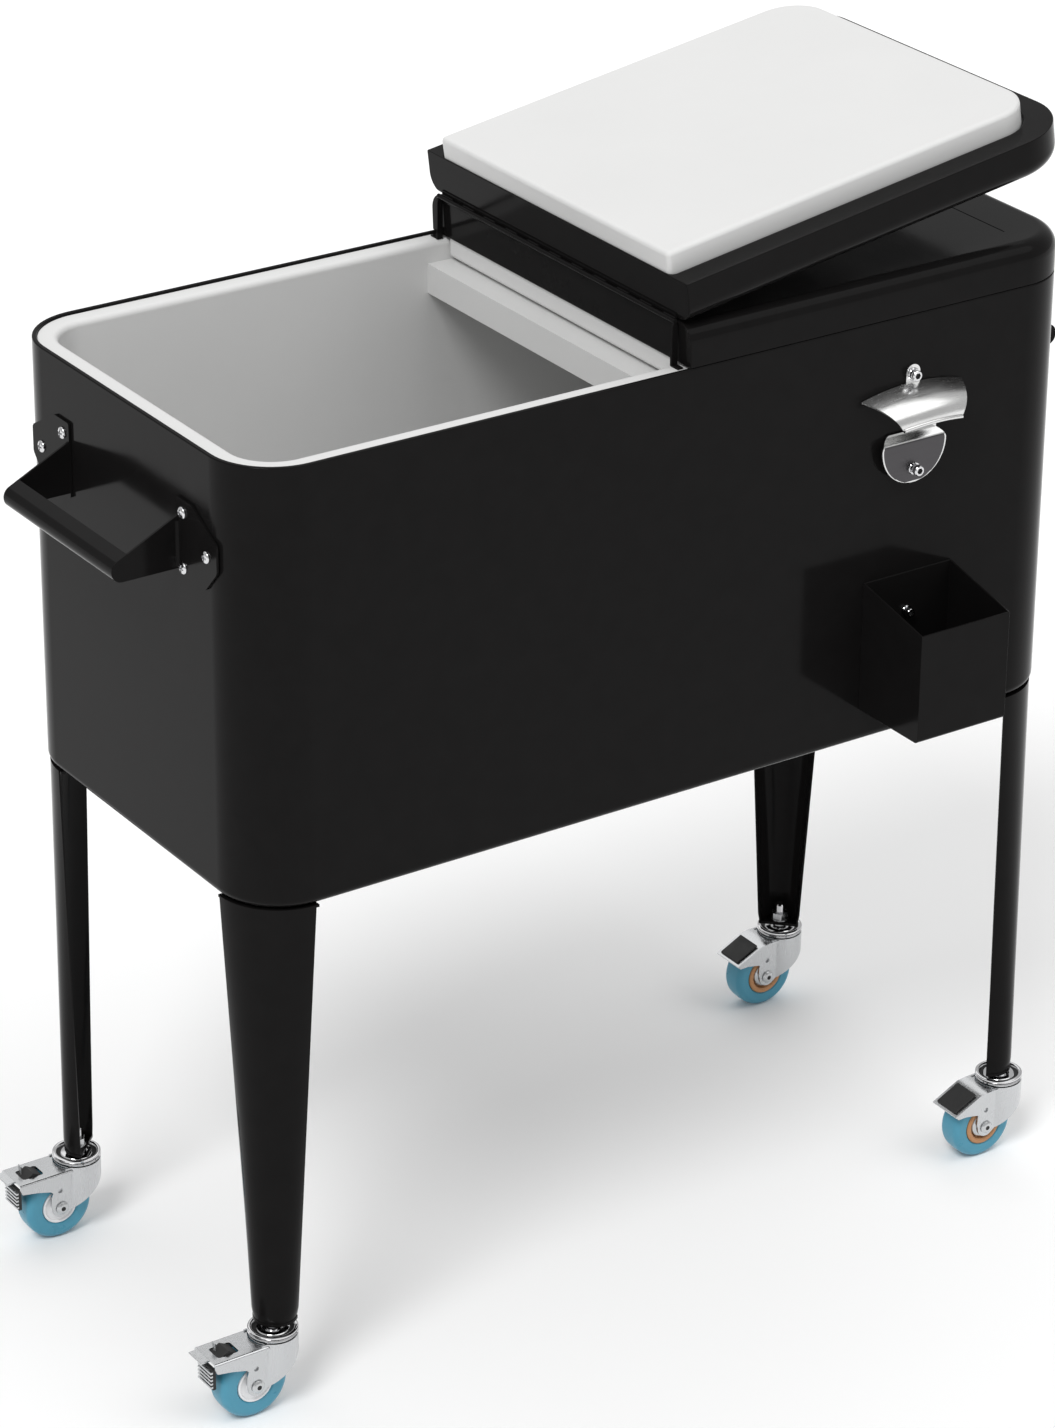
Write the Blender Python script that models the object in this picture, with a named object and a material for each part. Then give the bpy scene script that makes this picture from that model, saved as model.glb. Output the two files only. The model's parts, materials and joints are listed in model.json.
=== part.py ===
"""Rolling patio cooler: insulated steel tub on four legs, two flip-over lids, casters, bottle opener.

Metres, +Z up. The origin is on the floor under the middle of the tub, X runs along the tub and -Y is the
front, where the bottle opener and the cap catcher are. At rest the left lid lies open on the right one.
"""

from math import atan2, cos, pi, radians, sin, sqrt

import bmesh
import bpy
from mathutils import Matrix, Vector

MM = 0.001
GAP = 0.3 * MM  # left between pieces that touch

# Driving dimensions
TUB_LENGTH = 800 * MM
TUB_WIDTH = 374 * MM
TUB_HEIGHT = 374 * MM
RIM_Z = 835 * MM
CORNER_RADIUS = 57 * MM
SHEET = 1.2 * MM
HEM = 4 * MM  # width of the folded rim
WALL = 21 * MM  # outer face of the tub to the inner face of the liner
LINER_SHEET = 2.5 * MM
FLOOR_THICKNESS = 42 * MM  # underside of the tub to the inner floor of the liner
LID_HEIGHT = 35 * MM
LID_FILLET = 15 * MM
LID_OPEN_DEG = 171
INSERT_DROP = 17.5 * MM  # how far a lid's insert reaches below the rim
LEG_TOP_RADIUS = 55.5 * MM
LEG_BOTTOM_WIDTH = 38 * MM
LEG_BOTTOM_DEPTH = 20 * MM
LEG_SPLAY = 2.5 * MM
LEG_SHEET = 1.6 * MM
LEG_FOOT_Z = 77.3 * MM
WHEEL_RADIUS = 31.5 * MM
WHEEL_WIDTH = 24 * MM
CASTER_TRAIL = 24 * MM
CASTER_TOP_Z = 74.5 * MM
HANDLE_HALF = 86.5 * MM  # middle of the handle to the outer face of a web
OPENER_X = 225 * MM
CATCHER_X = 229 * MM

HALF_L = TUB_LENGTH / 2
HALF_W = TUB_WIDTH / 2
TUB_Z = RIM_Z - TUB_HEIGHT
FRONT_Y = -HALF_W
HINGE_Z = RIM_Z + LID_HEIGHT + 0.8 * MM
CORNER_X = HALF_L - CORNER_RADIUS
CORNER_Y = HALF_W - CORNER_RADIUS
SIDES = (("left", -1), ("right", 1))
CORNERS = (("front_left", -1, -1), ("front_right", 1, -1), ("rear_left", -1, 1), ("rear_right", 1, 1))

# name: (colour, roughness, metallic)
MATERIALS = {
    "black_paint": ((0.012, 0.012, 0.013), 0.28, 0.0),
    "white_plastic": ((0.80, 0.80, 0.79), 0.42, 0.0),
    "grey_foam": ((0.75, 0.68, 0.45), 0.9, 0.0),
    "zinc": ((0.62, 0.63, 0.64), 0.35, 1.0),
    "chrome": ((0.78, 0.78, 0.78), 0.12, 1.0),
    "stainless": ((0.72, 0.72, 0.71), 0.25, 1.0),
    "blue_tyre": ((0.06, 0.28, 0.40), 0.35, 0.0),
    "tan_nylon": ((0.43, 0.20, 0.08), 0.5, 0.0),
    "black_rubber": ((0.02, 0.02, 0.02), 0.6, 0.0),
}


def clear_scene():
    for obj in list(bpy.data.objects):
        bpy.data.objects.remove(obj, do_unlink=True)


def material(name):
    found = bpy.data.materials.get(name)
    if found:
        return found
    colour, roughness, metallic = MATERIALS[name]
    made = bpy.data.materials.new(name)
    made.use_nodes = True
    shader = made.node_tree.nodes["Principled BSDF"]
    shader.inputs["Base Color"].default_value = (*colour, 1)
    shader.inputs["Roughness"].default_value = roughness
    shader.inputs["Metallic"].default_value = metallic
    made.diffuse_color = (*colour, 1)
    return made


def mesh_of(points, faces):
    """A mesh of these points and faces, its faces turned outwards."""
    shape = bmesh.new()
    verts = [shape.verts.new(p) for p in points]
    for face in faces:
        shape.faces.new([verts[i] for i in face])
    bmesh.ops.recalc_face_normals(shape, faces=shape.faces)
    made = bpy.data.meshes.new("shape")
    shape.to_mesh(made)
    shape.free()
    return made


def node(name, mesh, finish, place=Matrix(), parent=None, sharp_deg=35):
    """The object of one sub-part. Its place is in the world, or in its parent's frame."""
    obj = bpy.data.objects.new(name, mesh)
    bpy.context.scene.collection.objects.link(obj)
    obj.parent = parent
    obj.matrix_local = place
    if not mesh.materials:
        mesh.materials.append(material(finish))
    mesh.shade_smooth()
    mesh.set_sharp_from_angle(angle=radians(sharp_deg))
    return obj


def pivot(name, location, parent=None, rotation=Matrix()):
    """An empty on a joint's axis."""
    obj = bpy.data.objects.new(name, None)
    bpy.context.scene.collection.objects.link(obj)
    obj.parent = parent
    obj.matrix_local = Matrix.Translation(location) @ rotation
    return obj


def boolean(base, others, operation="UNION"):
    """The mesh of base joined with, or cut by, the other meshes, one after the other."""
    result = base
    for other in others:
        body = bpy.data.objects.new("body", result)
        tool = bpy.data.objects.new("tool", other)
        for obj in (body, tool):
            bpy.context.scene.collection.objects.link(obj)
        tool.hide_render = True
        tool.display_type = "WIRE"
        step = body.modifiers.new(operation.title(), "BOOLEAN")
        step.operation = operation
        step.solver = "EXACT"
        step.object = tool
        graph = bpy.context.evaluated_depsgraph_get()
        result = bpy.data.meshes.new_from_object(body.evaluated_get(graph))
        bpy.data.objects.remove(body)
        bpy.data.objects.remove(tool)
    return result


def mirrored(mesh, x=1, y=1):
    """A copy of the mesh with the signs of X and Y multiplied by these."""
    copy = mesh.copy()
    copy.transform(Matrix.Diagonal((x, y, 1, 1)))
    if x * y < 0:
        copy.flip_normals()
    return copy


def moved(mesh, offset):
    copy = mesh.copy()
    copy.transform(Matrix.Translation(offset))
    return copy


def rounded_outline(x0, x1, y0, y1, radii):
    """The points of a rectangle with its own radius at each corner, from (x1, y1) counter-clockwise."""
    centres = ((x1, y1, -1, -1, 0), (x0, y1, 1, -1, 1), (x0, y0, 1, 1, 2), (x1, y0, -1, 1, 3))
    points = []
    for (x, y, to_x, to_y, quarter), radius in zip(centres, radii):
        steps = 6 if radius > 5 * MM else 1
        for i in range(steps + 1):
            angle = pi / 2 * (quarter + i / steps)
            points.append((x + to_x * radius + radius * cos(angle), y + to_y * radius + radius * sin(angle)))
    return points


def stacked(loops):
    """A closed skin through loops of (outline, z), capped on the first and the last."""
    points, faces = [], []
    count = len(loops[0][0])
    for outline, z in loops:
        points += [(x, y, z) for x, y in outline]
    for row in range(len(loops) - 1):
        for i in range(count):
            a, b = row * count + i, row * count + (i + 1) % count
            faces.append((a, b, b + count, a + count))
    faces.append(tuple(range(count)))
    faces.append(tuple(len(points) - count + i for i in range(count)))
    return mesh_of(points, faces)


AXES = {
    "Z": lambda a, b, h: (a, b, h),
    "Y": lambda a, b, h: (a, h, b),
    "X": lambda a, b, h: (h, a, b),
}


def prism(outline, low, high, axis="Z"):
    """An outline pushed along an axis: (x, y) along Z, (x, z) along Y, (y, z) along X."""
    place = AXES[axis]
    count = len(outline)
    points = [place(a, b, h) for h in (low, high) for a, b in outline]
    faces = [(i, (i + 1) % count, (i + 1) % count + count, i + count) for i in range(count)]
    return mesh_of(points, [*faces, tuple(range(count)), tuple(range(count, 2 * count))])


def block(x0, x1, y0, y1, z0, z1):
    return prism([(x0, y0), (x1, y0), (x1, y1), (x0, y1)], z0, z1)


def lathe(profile, steps, axis="Z"):
    """A ring turned from a closed (radius, height) profile, or a solid one where both end radii are 0."""
    place = AXES[axis]
    turns = [(cos(2 * pi * i / steps), sin(2 * pi * i / steps)) for i in range(steps)]
    solid = profile[0][0] == 0 and profile[-1][0] == 0
    rings = profile[1:-1] if solid else profile
    points = [place(r * c, r * s, h) for r, h in rings for c, s in turns]
    faces = []
    for row in range(len(rings) - solid):
        after = (row + 1) % len(rings)
        for i in range(steps):
            j = (i + 1) % steps
            faces.append((row * steps + i, row * steps + j, after * steps + j, after * steps + i))
    if solid:
        faces.append(tuple(range(steps)))
        faces.append(tuple((len(rings) - 1) * steps + i for i in range(steps)))
    return mesh_of(points, faces)


def rod(radius, low, high, steps=16, axis="Z"):
    return lathe([(0, low), (radius, low), (radius, high), (0, high)], steps, axis)


def tube(radius, bore, low, high, steps=16, axis="Z"):
    return lathe([(bore, low), (radius, low), (radius, high), (bore, high)], steps, axis)


# ---- tub ----


def tub_outline(inset):
    radius = CORNER_RADIUS - inset
    return rounded_outline(inset - HALF_L, HALF_L - inset, inset - HALF_W, HALF_W - inset, [radius] * 4)


def tub_loops(pairs):
    return stacked([(tub_outline(inset), z) for inset, z in pairs])


def bottom_fillet(radius, inset, z, steps=3):
    """Pairs of inset and height round the tub's lower edge, from its underside up."""
    turn = [pi / 2 * i / steps for i in range(steps + 1)]
    return [(inset + radius * (1 - sin(a)), z + radius * (1 - cos(a))) for a in turn]


def build_tub():
    outer = bottom_fillet(9 * MM, 0, TUB_Z)
    inner = bottom_fillet(8 * MM, SHEET, TUB_Z + SHEET)[::-1]
    hem_low = RIM_Z - 7 * MM
    rim = [(0, RIM_Z), (HEM, RIM_Z), (HEM, hem_low), (SHEET, hem_low - MM)]
    holes = [
        mirrored(hole, x, y)
        for x in (1, -1) for y in (1, -1)
        for hole in screw_holes(SCREW_RADIUS + GAP, -HALF_L - 3 * MM, 3 * MM - HALF_L)
    ]
    node("outer_shell", boolean(tub_loops(outer + rim + inner), holes, "DIFFERENCE"), "black_paint")

    foam_out = SHEET + GAP
    foam_in = WALL - LINER_SHEET - GAP
    liner_floor = TUB_Z + FLOOR_THICKNESS
    foam = bottom_fillet(8 * MM, foam_out, TUB_Z + foam_out)
    foam_top = hem_low - MM - GAP
    cavity_floor = liner_floor - LINER_SHEET - GAP
    cavity = [(foam_in, cavity_floor + 8 * MM), (foam_in + 6 * MM, cavity_floor)]
    body = tub_loops([*foam, (foam_out, foam_top), (foam_in, foam_top), *cavity])
    side = HALF_W - 40 * MM
    pocket = block(-HALF_L, 4 * MM - HALF_L, -side, side, RIM_Z - 122 * MM, RIM_Z - 46 * MM)
    node("foam_insulation", boolean(body, [pocket, mirrored(pocket, x=-1)], "DIFFERENCE"), "grey_foam")

    lip_top = RIM_Z - 2 * MM
    lip_edge = HEM + GAP
    under = [(WALL + 4 * MM, liner_floor - LINER_SHEET), (WALL - LINER_SHEET, liner_floor + 6 * MM)]
    lip = [(WALL - LINER_SHEET, lip_top - 3 * MM), (lip_edge, lip_top - 3 * MM), (lip_edge, lip_top)]
    inside = [(WALL - 1.5 * MM, lip_top), (WALL, lip_top - 1.5 * MM), (WALL, liner_floor + 7 * MM)]
    node("inner_liner", tub_loops([*under, *lip, *inside, (WALL + 5 * MM, liner_floor)]), "white_plastic")

    bar_y = HALF_W - WALL - GAP
    bar_top = RIM_Z - INSERT_DROP - 2.5 * MM
    bar = block(-14 * MM, 14 * MM, -bar_y, bar_y, bar_top - 26 * MM, bar_top)
    hollow = block(-11 * MM, 11 * MM, 6 * MM - bar_y, bar_y - 6 * MM, bar_top - 30 * MM, bar_top - 3 * MM)
    node("centre_crossbar", boolean(bar, [hollow], "DIFFERENCE"), "white_plastic")


def build_drain():
    """A threaded drain in the underside, near the rear left corner, and the cap that screws onto it."""
    place = Matrix.Translation((-250 * MM, 95 * MM, TUB_Z))
    profile = [(7, -0.3), (14, -0.3), (14, -3.3), (10.5, -3.3), (10.5, -15), (7, -15)]
    node("drain_spigot", lathe([(r * MM, h * MM) for r, h in profile], 20), "black_rubber", place)
    cap = pivot("drain_cap_pivot", place.translation)
    profile = [(0, -19), (13, -19), (13, -4), (10.9, -4), (10.9, -15.4), (0, -15.4)]
    node("drain_cap", lathe([(r * MM, h * MM) for r, h in profile], 20), "black_rubber", parent=cap)


# ---- lids, built closed on the right and relative to the hinge's axis ----


def lid_outline(wall, inset, radius=None, hinge_radius=0.6 * MM):
    """The lid's outline with its hinge wall at X = wall and its three other sides inset."""
    outer = CORNER_RADIUS - inset if radius is None else radius
    radii = [outer, hinge_radius, hinge_radius, outer]
    return rounded_outline(wall, HALF_L - inset, inset - HALF_W, HALF_W - inset, radii)


def hinge_wall(z):
    """X of a lid's hinge wall at a height above the rim: it leans so that lids part towards the rim."""
    return 4.5 * MM - 1.2 * MM * z / LID_HEIGHT


def lid_shell_mesh():
    to_axis = RIM_Z - HINGE_Z
    steps = 3
    straight = LID_HEIGHT - LID_FILLET
    loops = []

    def add(z, inset, wall=None):
        loops.append((lid_outline(hinge_wall(z) if wall is None else wall, inset), z + to_axis))

    inner_wall = hinge_wall(0) + SHEET
    add(LID_HEIGHT - SHEET, SHEET + 13 * MM, inner_wall)
    add(LID_HEIGHT - 8 * MM, SHEET + 3.5 * MM, inner_wall)
    add(LID_HEIGHT - 16 * MM, SHEET, inner_wall)
    add(4.6 * MM, SHEET, inner_wall)
    add(4.2 * MM, SHEET, inner_wall)
    opening = insert_outline(GAP)
    loops.append((opening, 4.1 * MM + to_axis))
    loops.append((opening, 3.0 * MM + to_axis))
    add(2.9 * MM, 3.6 * MM, inner_wall - 0.4 * MM)
    add(GAP, 3.2 * MM, inner_wall - 0.6 * MM)
    add(GAP, 0)
    for i in range(steps + 1):
        angle = pi / 2 * i / steps
        z = straight + LID_FILLET * sin(angle)
        add(z, LID_FILLET * (1 - cos(angle)), hinge_wall(z) + (MM if i == steps else 0))
    return stacked(loops)


INSERT_WALL = 6.2 * MM  # hinge side of an insert
INSERT_FRONT, INSERT_BACK, INSERT_END = 26 * MM, 22 * MM, 23.5 * MM  # margins round it
INSERT_RADIUS = 36 * MM


def insert_outline(grow):
    radii = [INSERT_RADIUS + grow, 4 * MM, 4 * MM, INSERT_RADIUS + grow]
    low, high = INSERT_FRONT - HALF_W - grow, HALF_W - INSERT_BACK + grow
    return rounded_outline(INSERT_WALL - grow, HALF_L - INSERT_END + grow, low, high, radii)


def insert_mesh():
    to_axis = RIM_Z - HINGE_Z
    edge = [(-INSERT_DROP, -2 * MM), (1.2 * MM - INSERT_DROP, -0.6 * MM), (3 * MM - INSERT_DROP, 0)]
    return stacked([(insert_outline(grow), z + to_axis) for z, grow in [*edge, (LID_HEIGHT - 1.6 * MM, 0)]])


LEAF_X = (2.1 * MM, 3.0 * MM)
KNUCKLE_RADIUS = 2.5 * MM
PIN_RADIUS = 1.2 * MM
HINGE_HALF = 168 * MM
KNUCKLES = 11


def leaf_mesh(first):
    """One leaf of the hinge, with every second knuckle, counted from the front."""
    strip = block(*LEAF_X, -HINGE_HALF, HINGE_HALF, -24 * MM, -3.5 * MM)
    pitch = 2 * HINGE_HALF / KNUCKLES
    pieces = []
    for i in range(first, KNUCKLES, 2):
        low = pitch * i - HINGE_HALF + 0.3 * MM
        high = low + pitch - 0.6 * MM
        tab = block(1.8 * MM, LEAF_X[1], low, high, -5 * MM, -0.6 * MM)
        pieces += [boolean(tube(KNUCKLE_RADIUS, 1.5 * MM, low, high, 8, "Y"), [tab])]
    return boolean(strip, pieces)


def build_lids():
    shell, insert = lid_shell_mesh(), insert_mesh()
    for side, sign in SIDES:
        opened = Matrix.Rotation(radians(LID_OPEN_DEG), 4, "Y") if side == "left" else Matrix()
        hinge = pivot(f"{side}_lid_pivot", (0, 0, HINGE_Z), rotation=opened)
        node(f"{side}_lid_shell", mirrored(shell, x=sign), "black_paint", parent=hinge)
        node(f"{side}_lid_insert", mirrored(insert, x=sign), "white_plastic", parent=hinge)
        leaf = leaf_mesh(0 if side == "right" else 1)
        node(f"{side}_hinge_leaf", mirrored(leaf, x=sign), "black_paint", parent=hinge)
    axis = Matrix.Translation((0, 0, HINGE_Z))
    node("hinge_pin", rod(PIN_RADIUS, -182 * MM, 182 * MM, 12, "Y"), "zinc", axis)
    foot_z = RIM_Z - 2 * MM + GAP
    foot = block(-3.8 * MM, 3.8 * MM, 166 * MM, 182.4 * MM, foot_z, foot_z + 1.6 * MM)
    post = block(-1.2 * MM, 1.2 * MM, 171 * MM, 182.4 * MM, foot_z + 0.5 * MM, HINGE_Z - MM)
    eye = moved(rod(2.8 * MM, 171 * MM, 182.4 * MM, 16, "Y"), (0, 0, HINGE_Z))
    bore = moved(rod(1.5 * MM, 160 * MM, 190 * MM, 12, "Y"), (0, 0, HINGE_Z))
    bracket = boolean(boolean(foot, [post, eye]), [bore], "DIFFERENCE")
    node("rear_hinge_bracket", bracket, "black_paint")
    node("front_hinge_bracket", mirrored(bracket, y=-1), "black_paint")


# ---- legs ----


def leg_section(share):
    """Outer radius and half angle of a leg's curved section, and how far its centre is outside the corner's.

    The share of the leg's height runs from 0 at the tub to 1 at the foot.
    """
    top_width = LEG_TOP_RADIUS * sqrt(2)
    top_depth = LEG_TOP_RADIUS * (1 - cos(pi / 4))
    width = top_width + (LEG_BOTTOM_WIDTH - top_width) * share
    depth = top_depth + (LEG_BOTTOM_DEPTH - top_depth) * share
    radius = (width * width / 4 + depth * depth) / (2 * depth)
    half = 2 * atan2(depth, width / 2)
    return radius, half, LEG_TOP_RADIUS + LEG_SPLAY * sqrt(2) * share - radius


def leg_outline(share, steps=6):
    radius, half, distance = leg_section(share)
    centre = (CORNER_X + distance * cos(pi / 4), CORNER_Y + distance * sin(pi / 4))
    angles = [pi / 4 - half + 2 * half * i / steps for i in range(steps + 1)]
    rims = [(radius, angles), (radius - LEG_SHEET, angles[::-1])]
    return [(centre[0] + r * cos(a), centre[1] + r * sin(a)) for r, turns in rims for a in turns]


def caster_place(sign_x, sign_y):
    """The stem's axis on the floor, 10.5 mm inside the leg's outermost line."""
    reach = (LEG_TOP_RADIUS + LEG_SPLAY * sqrt(2) - 10.5 * MM) * cos(pi / 4)
    return Vector((sign_x * (CORNER_X + reach), sign_y * (CORNER_Y + reach), 0))


LEG_TOP_Z = TUB_Z - GAP


def leg_mesh():
    """The rear right leg: a tapered channel open to the middle, a flange on top and a plate in its foot."""
    rows = 3
    levels = [i / rows for i in range(rows + 1)]
    loops = [(leg_outline(s), LEG_TOP_Z + (LEG_FOOT_Z - LEG_TOP_Z) * s) for s in levels]
    channel = stacked(loops[::-1])
    corner = Vector((CORNER_X, CORNER_Y))
    inner = LEG_TOP_RADIUS - 0.8 * MM
    arc = [corner + Vector((cos(a), sin(a))) * inner for a in (pi / 2 * i / 8 for i in range(9))]
    flange = [corner + Vector((-18 * MM, inner)), corner + Vector((-18 * MM, -18 * MM)),
              corner + Vector((inner, -18 * MM))]
    top = prism([tuple(p) for p in [*arc, *flange]], LEG_TOP_Z - 2.5 * MM, LEG_TOP_Z - 0.4 * MM)
    foot = leg_outline(1)
    plate = prism(foot[: len(foot) // 2], LEG_FOOT_Z + 0.4 * MM, LEG_FOOT_Z + 3 * MM)
    stem = caster_place(1, 1)
    bore = moved(rod(5.4 * MM, 60 * MM, 100 * MM, 12), stem)
    bolt = moved(rod(4.4 * MM, TUB_Z - 20 * MM, TUB_Z + 5 * MM, 12), leg_bolt_place(1, 1))
    return boolean(boolean(channel, [top, plate]), [bore, bolt], "DIFFERENCE")


def leg_bolt_place(sign_x, sign_y):
    return Vector((sign_x * (CORNER_X + 6 * MM), sign_y * (CORNER_Y + 6 * MM), 0))


def hexagon(across):
    corner = across / sqrt(3)
    return [(corner * cos(pi / 3 * i), corner * sin(pi / 3 * i)) for i in range(6)]


def build_legs():
    leg = leg_mesh()
    under = LEG_TOP_Z - 2.5 * MM - GAP
    head = prism(hexagon(13 * MM), under - 5 * MM, under)
    bolt = boolean(head, [rod(4 * MM, under - 2 * MM, TUB_Z - GAP, 12)])
    for name, sign_x, sign_y in CORNERS:
        node(f"{name}_leg", mirrored(leg, sign_x, sign_y), "black_paint")
        place = Matrix.Translation(leg_bolt_place(sign_x, sign_y))
        node(f"{name}_leg_bolt", bolt, "zinc", place)


# ---- handles ----

HANDLE_SHEET = 2 * MM
HANDLE_NOSE_X = -461 * MM
NOSE_RADIUS = 9.5 * MM
HANDLE_TOP = RIM_Z - 64 * MM
HANDLE_LOW = RIM_Z - 109 * MM
END_WALL_X = -HALF_L - GAP  # where the left handle's flanges rest
# Millimetres, y and z from the rim.
FLANGE = ((-84, -49), (-107, -49), (-144, -70), (-144, -93), (-126, -113), (-84, -113))
SCREWS = ((-94, -60), (-94, -106), (-129, -84))  # mm; y, z from the rim
SCREW_PLATE = ((-86, -51), (-102, -51), (-131, -69), (-131, -95), (-122, -111), (-86, -111))
SCREW_RADIUS = 2 * MM


def rimmed(points):
    """Points in mm, measured along Y and down from the rim, as places in the YZ plane."""
    return [(y * MM, z * MM + RIM_Z) for y, z in points]


def handle_profile(steps=6):
    """(x, z) outline of a web: the wall, the slanted top edge, the round nose and the lower edge."""
    centre_x, centre_z = HANDLE_NOSE_X + NOSE_RADIUS, HANDLE_LOW + NOSE_RADIUS
    points = [(END_WALL_X, HANDLE_TOP)]
    for i in range(steps + 1):
        angle = radians(130 + 140 * i / steps)
        points.append((centre_x + NOSE_RADIUS * cos(angle), centre_z + NOSE_RADIUS * sin(angle)))
    return [*points, (END_WALL_X, HANDLE_LOW)]


def offset_profile(points, distance):
    """Points moved inwards along their own normals."""
    inner = []
    for i, (x, z) in enumerate(points):
        before, after = points[max(i - 1, 0)], points[min(i + 1, len(points) - 1)]
        along = Vector((after[0] - before[0], after[1] - before[1])).normalized()
        inner.append((x - along.y * distance, z + along.x * distance))
    return inner


def screw_holes(radius, low, high):
    return [moved(rod(radius, low, high, 8, "X"), (0, *place)) for place in rimmed(SCREWS)]


def handle_mesh():
    """The left handle: a strip wrapped over the noses of two webs, each web with a screwed flange."""
    profile = handle_profile()
    slope = (Vector(profile[0]) - Vector(profile[1])).normalized() * 9 * MM
    outer = [tuple(Vector(profile[1]) + slope), *profile[1:-1], (profile[-2][0] + 9 * MM, profile[-2][1])]
    strip = prism(outer + offset_profile(outer, HANDLE_SHEET)[::-1], -HANDLE_HALF, HANDLE_HALF, "Y")
    inset = offset_profile(profile, HANDLE_SHEET / 2)
    root = END_WALL_X - HANDLE_SHEET / 2
    edge = [(root, inset[0][1]), *inset[1:-1], (root, inset[-1][1])]
    web = prism(edge, -HANDLE_HALF + 0.1 * MM, HANDLE_SHEET - HANDLE_HALF, "Y")
    flange = prism(rimmed(FLANGE), END_WALL_X - HANDLE_SHEET, END_WALL_X, "X")
    holes = screw_holes(SCREW_RADIUS + GAP, END_WALL_X - 9 * MM, END_WALL_X + 9 * MM)
    side = boolean(boolean(web, [flange]), holes, "DIFFERENCE")
    return boolean(strip, [side, mirrored(side, y=-1)])


def screw_plate_mesh():
    """The plate behind the tub's sheet, and the three screws that pass through flange and sheet to it."""
    inner = SHEET + GAP - HALF_L
    plate = prism(rimmed(SCREW_PLATE), inner, inner + 2 * MM, "X")
    face = END_WALL_X - HANDLE_SHEET - GAP
    heads = [moved(rod(4.2 * MM, face - 2.4 * MM, face, 10, "X"), (0, *place)) for place in rimmed(SCREWS)]
    return boolean(plate, [*screw_holes(SCREW_RADIUS, face - MM, inner + MM), *heads])


def build_handles():
    handle, screws = handle_mesh(), screw_plate_mesh()
    for side, sign in SIDES:
        node(f"{side}_handle", mirrored(handle, x=-sign), "black_paint")
        for end, turn in (("front", 1), ("rear", -1)):
            node(f"{side}_handle_{end}_screws", mirrored(screws, -sign, turn), "zinc")


# ---- bottle opener and cap catcher ----

OPENER_SHEET = 2 * MM
OPENER_SCREWS = (-51, -133)  # mm below the rim
CATCHER_DEPTH = 80 * MM
CATCHER_HALF = 45.5 * MM
CATCHER_BACK = RIM_Z - 227 * MM
CATCHER_FRONT = RIM_Z - 245 * MM
CATCHER_LOW = RIM_Z - 342 * MM
CATCHER_SCREW_Z = RIM_Z - 263 * MM
BACK_Y = FRONT_Y - GAP


def arc_points(x, z, radius, start_deg, end_deg, steps):
    angles = [radians(start_deg + (end_deg - start_deg) * i / steps) for i in range(steps + 1)]
    return [(x + radius * cos(a), z + radius * sin(a)) for a in angles]


def front_screw(name, x, z, head_y, head_radius, finish):
    """A screw along Y with its head in front of head_y, ending just outside the tub's sheet."""
    head = rod(head_radius, head_y - 4 * MM, head_y, 14, "Y")
    socket = rod(head_radius * 0.5, head_y - 6 * MM, head_y - 1.6 * MM, 6, "Y")
    shank = rod(SCREW_RADIUS, head_y - MM, HALF_W * -1 - GAP, 10, "Y")
    screw = boolean(boolean(head, [shank]), [socket], "DIFFERENCE")
    node(name, screw, finish, Matrix.Translation((x, 0, z)))


def build_opener():
    face = BACK_Y - OPENER_SHEET
    top = RIM_Z - 51 * MM
    tab = [*arc_points(OPENER_X, top, 8 * MM, 0, 180, 6), (OPENER_X - 8 * MM, top - 24 * MM),
           (OPENER_X + 8 * MM, top - 24 * MM)]
    low = RIM_Z - 112 * MM
    disc = [*arc_points(OPENER_X, low, 33 * MM, 180, 360, 10), (OPENER_X + 33 * MM, low + 12 * MM),
            (OPENER_X - 33 * MM, low + 12 * MM)]
    bridge = [(OPENER_X - 20 * MM, RIM_Z - 66 * MM), (OPENER_X + 20 * MM, RIM_Z - 66 * MM),
              (OPENER_X + 20 * MM, low + 6 * MM), (OPENER_X - 20 * MM, low + 6 * MM)]
    plates = [prism(outline, face, BACK_Y, "Y") for outline in (tab, disc, bridge)]
    # The hood leans out from the wall and narrows towards its lip.
    hood_loops = []
    for reach, drop, half in ((0.4, -60, 50), (12, -64, 48), (24, -76, 40), (31, -90, 31)):
        y, z = BACK_Y - reach * MM, RIM_Z + drop * MM
        hood_loops.append([(OPENER_X - half * MM, y, z), (OPENER_X + half * MM, y, z)])
    count = len(hood_loops)
    points = [p for pair in hood_loops for p in pair]
    points += [(x, y + 0.4 * MM, z - OPENER_SHEET) for x, y, z in points]
    faces = []
    for row in range(count - 1):
        a = 2 * row
        b = a + 2 * count
        faces += [(a, a + 1, a + 3, a + 2), (b, b + 1, b + 3, b + 2)]
        faces += [(a, a + 2, b + 2, b), (a + 1, a + 3, b + 3, b + 1)]
    faces += [(0, 1, 2 * count + 1, 2 * count), (2 * count - 2, 2 * count - 1, 4 * count - 1, 4 * count - 2)]
    body = boolean(plates[0], [plates[2], plates[1], mesh_of(points, faces)])
    holes = [moved(rod(SCREW_RADIUS + GAP, face - 9 * MM, BACK_Y + 9 * MM, 10, "Y"),
                   (OPENER_X, 0, RIM_Z + z * MM)) for z in OPENER_SCREWS]
    node("bottle_opener", boolean(body, holes, "DIFFERENCE"), "stainless")
    for label, z in zip(("upper", "lower"), OPENER_SCREWS):
        front_screw(f"opener_{label}_screw", OPENER_X, RIM_Z + z * MM, face - GAP, 4.6 * MM, "stainless")


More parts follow.
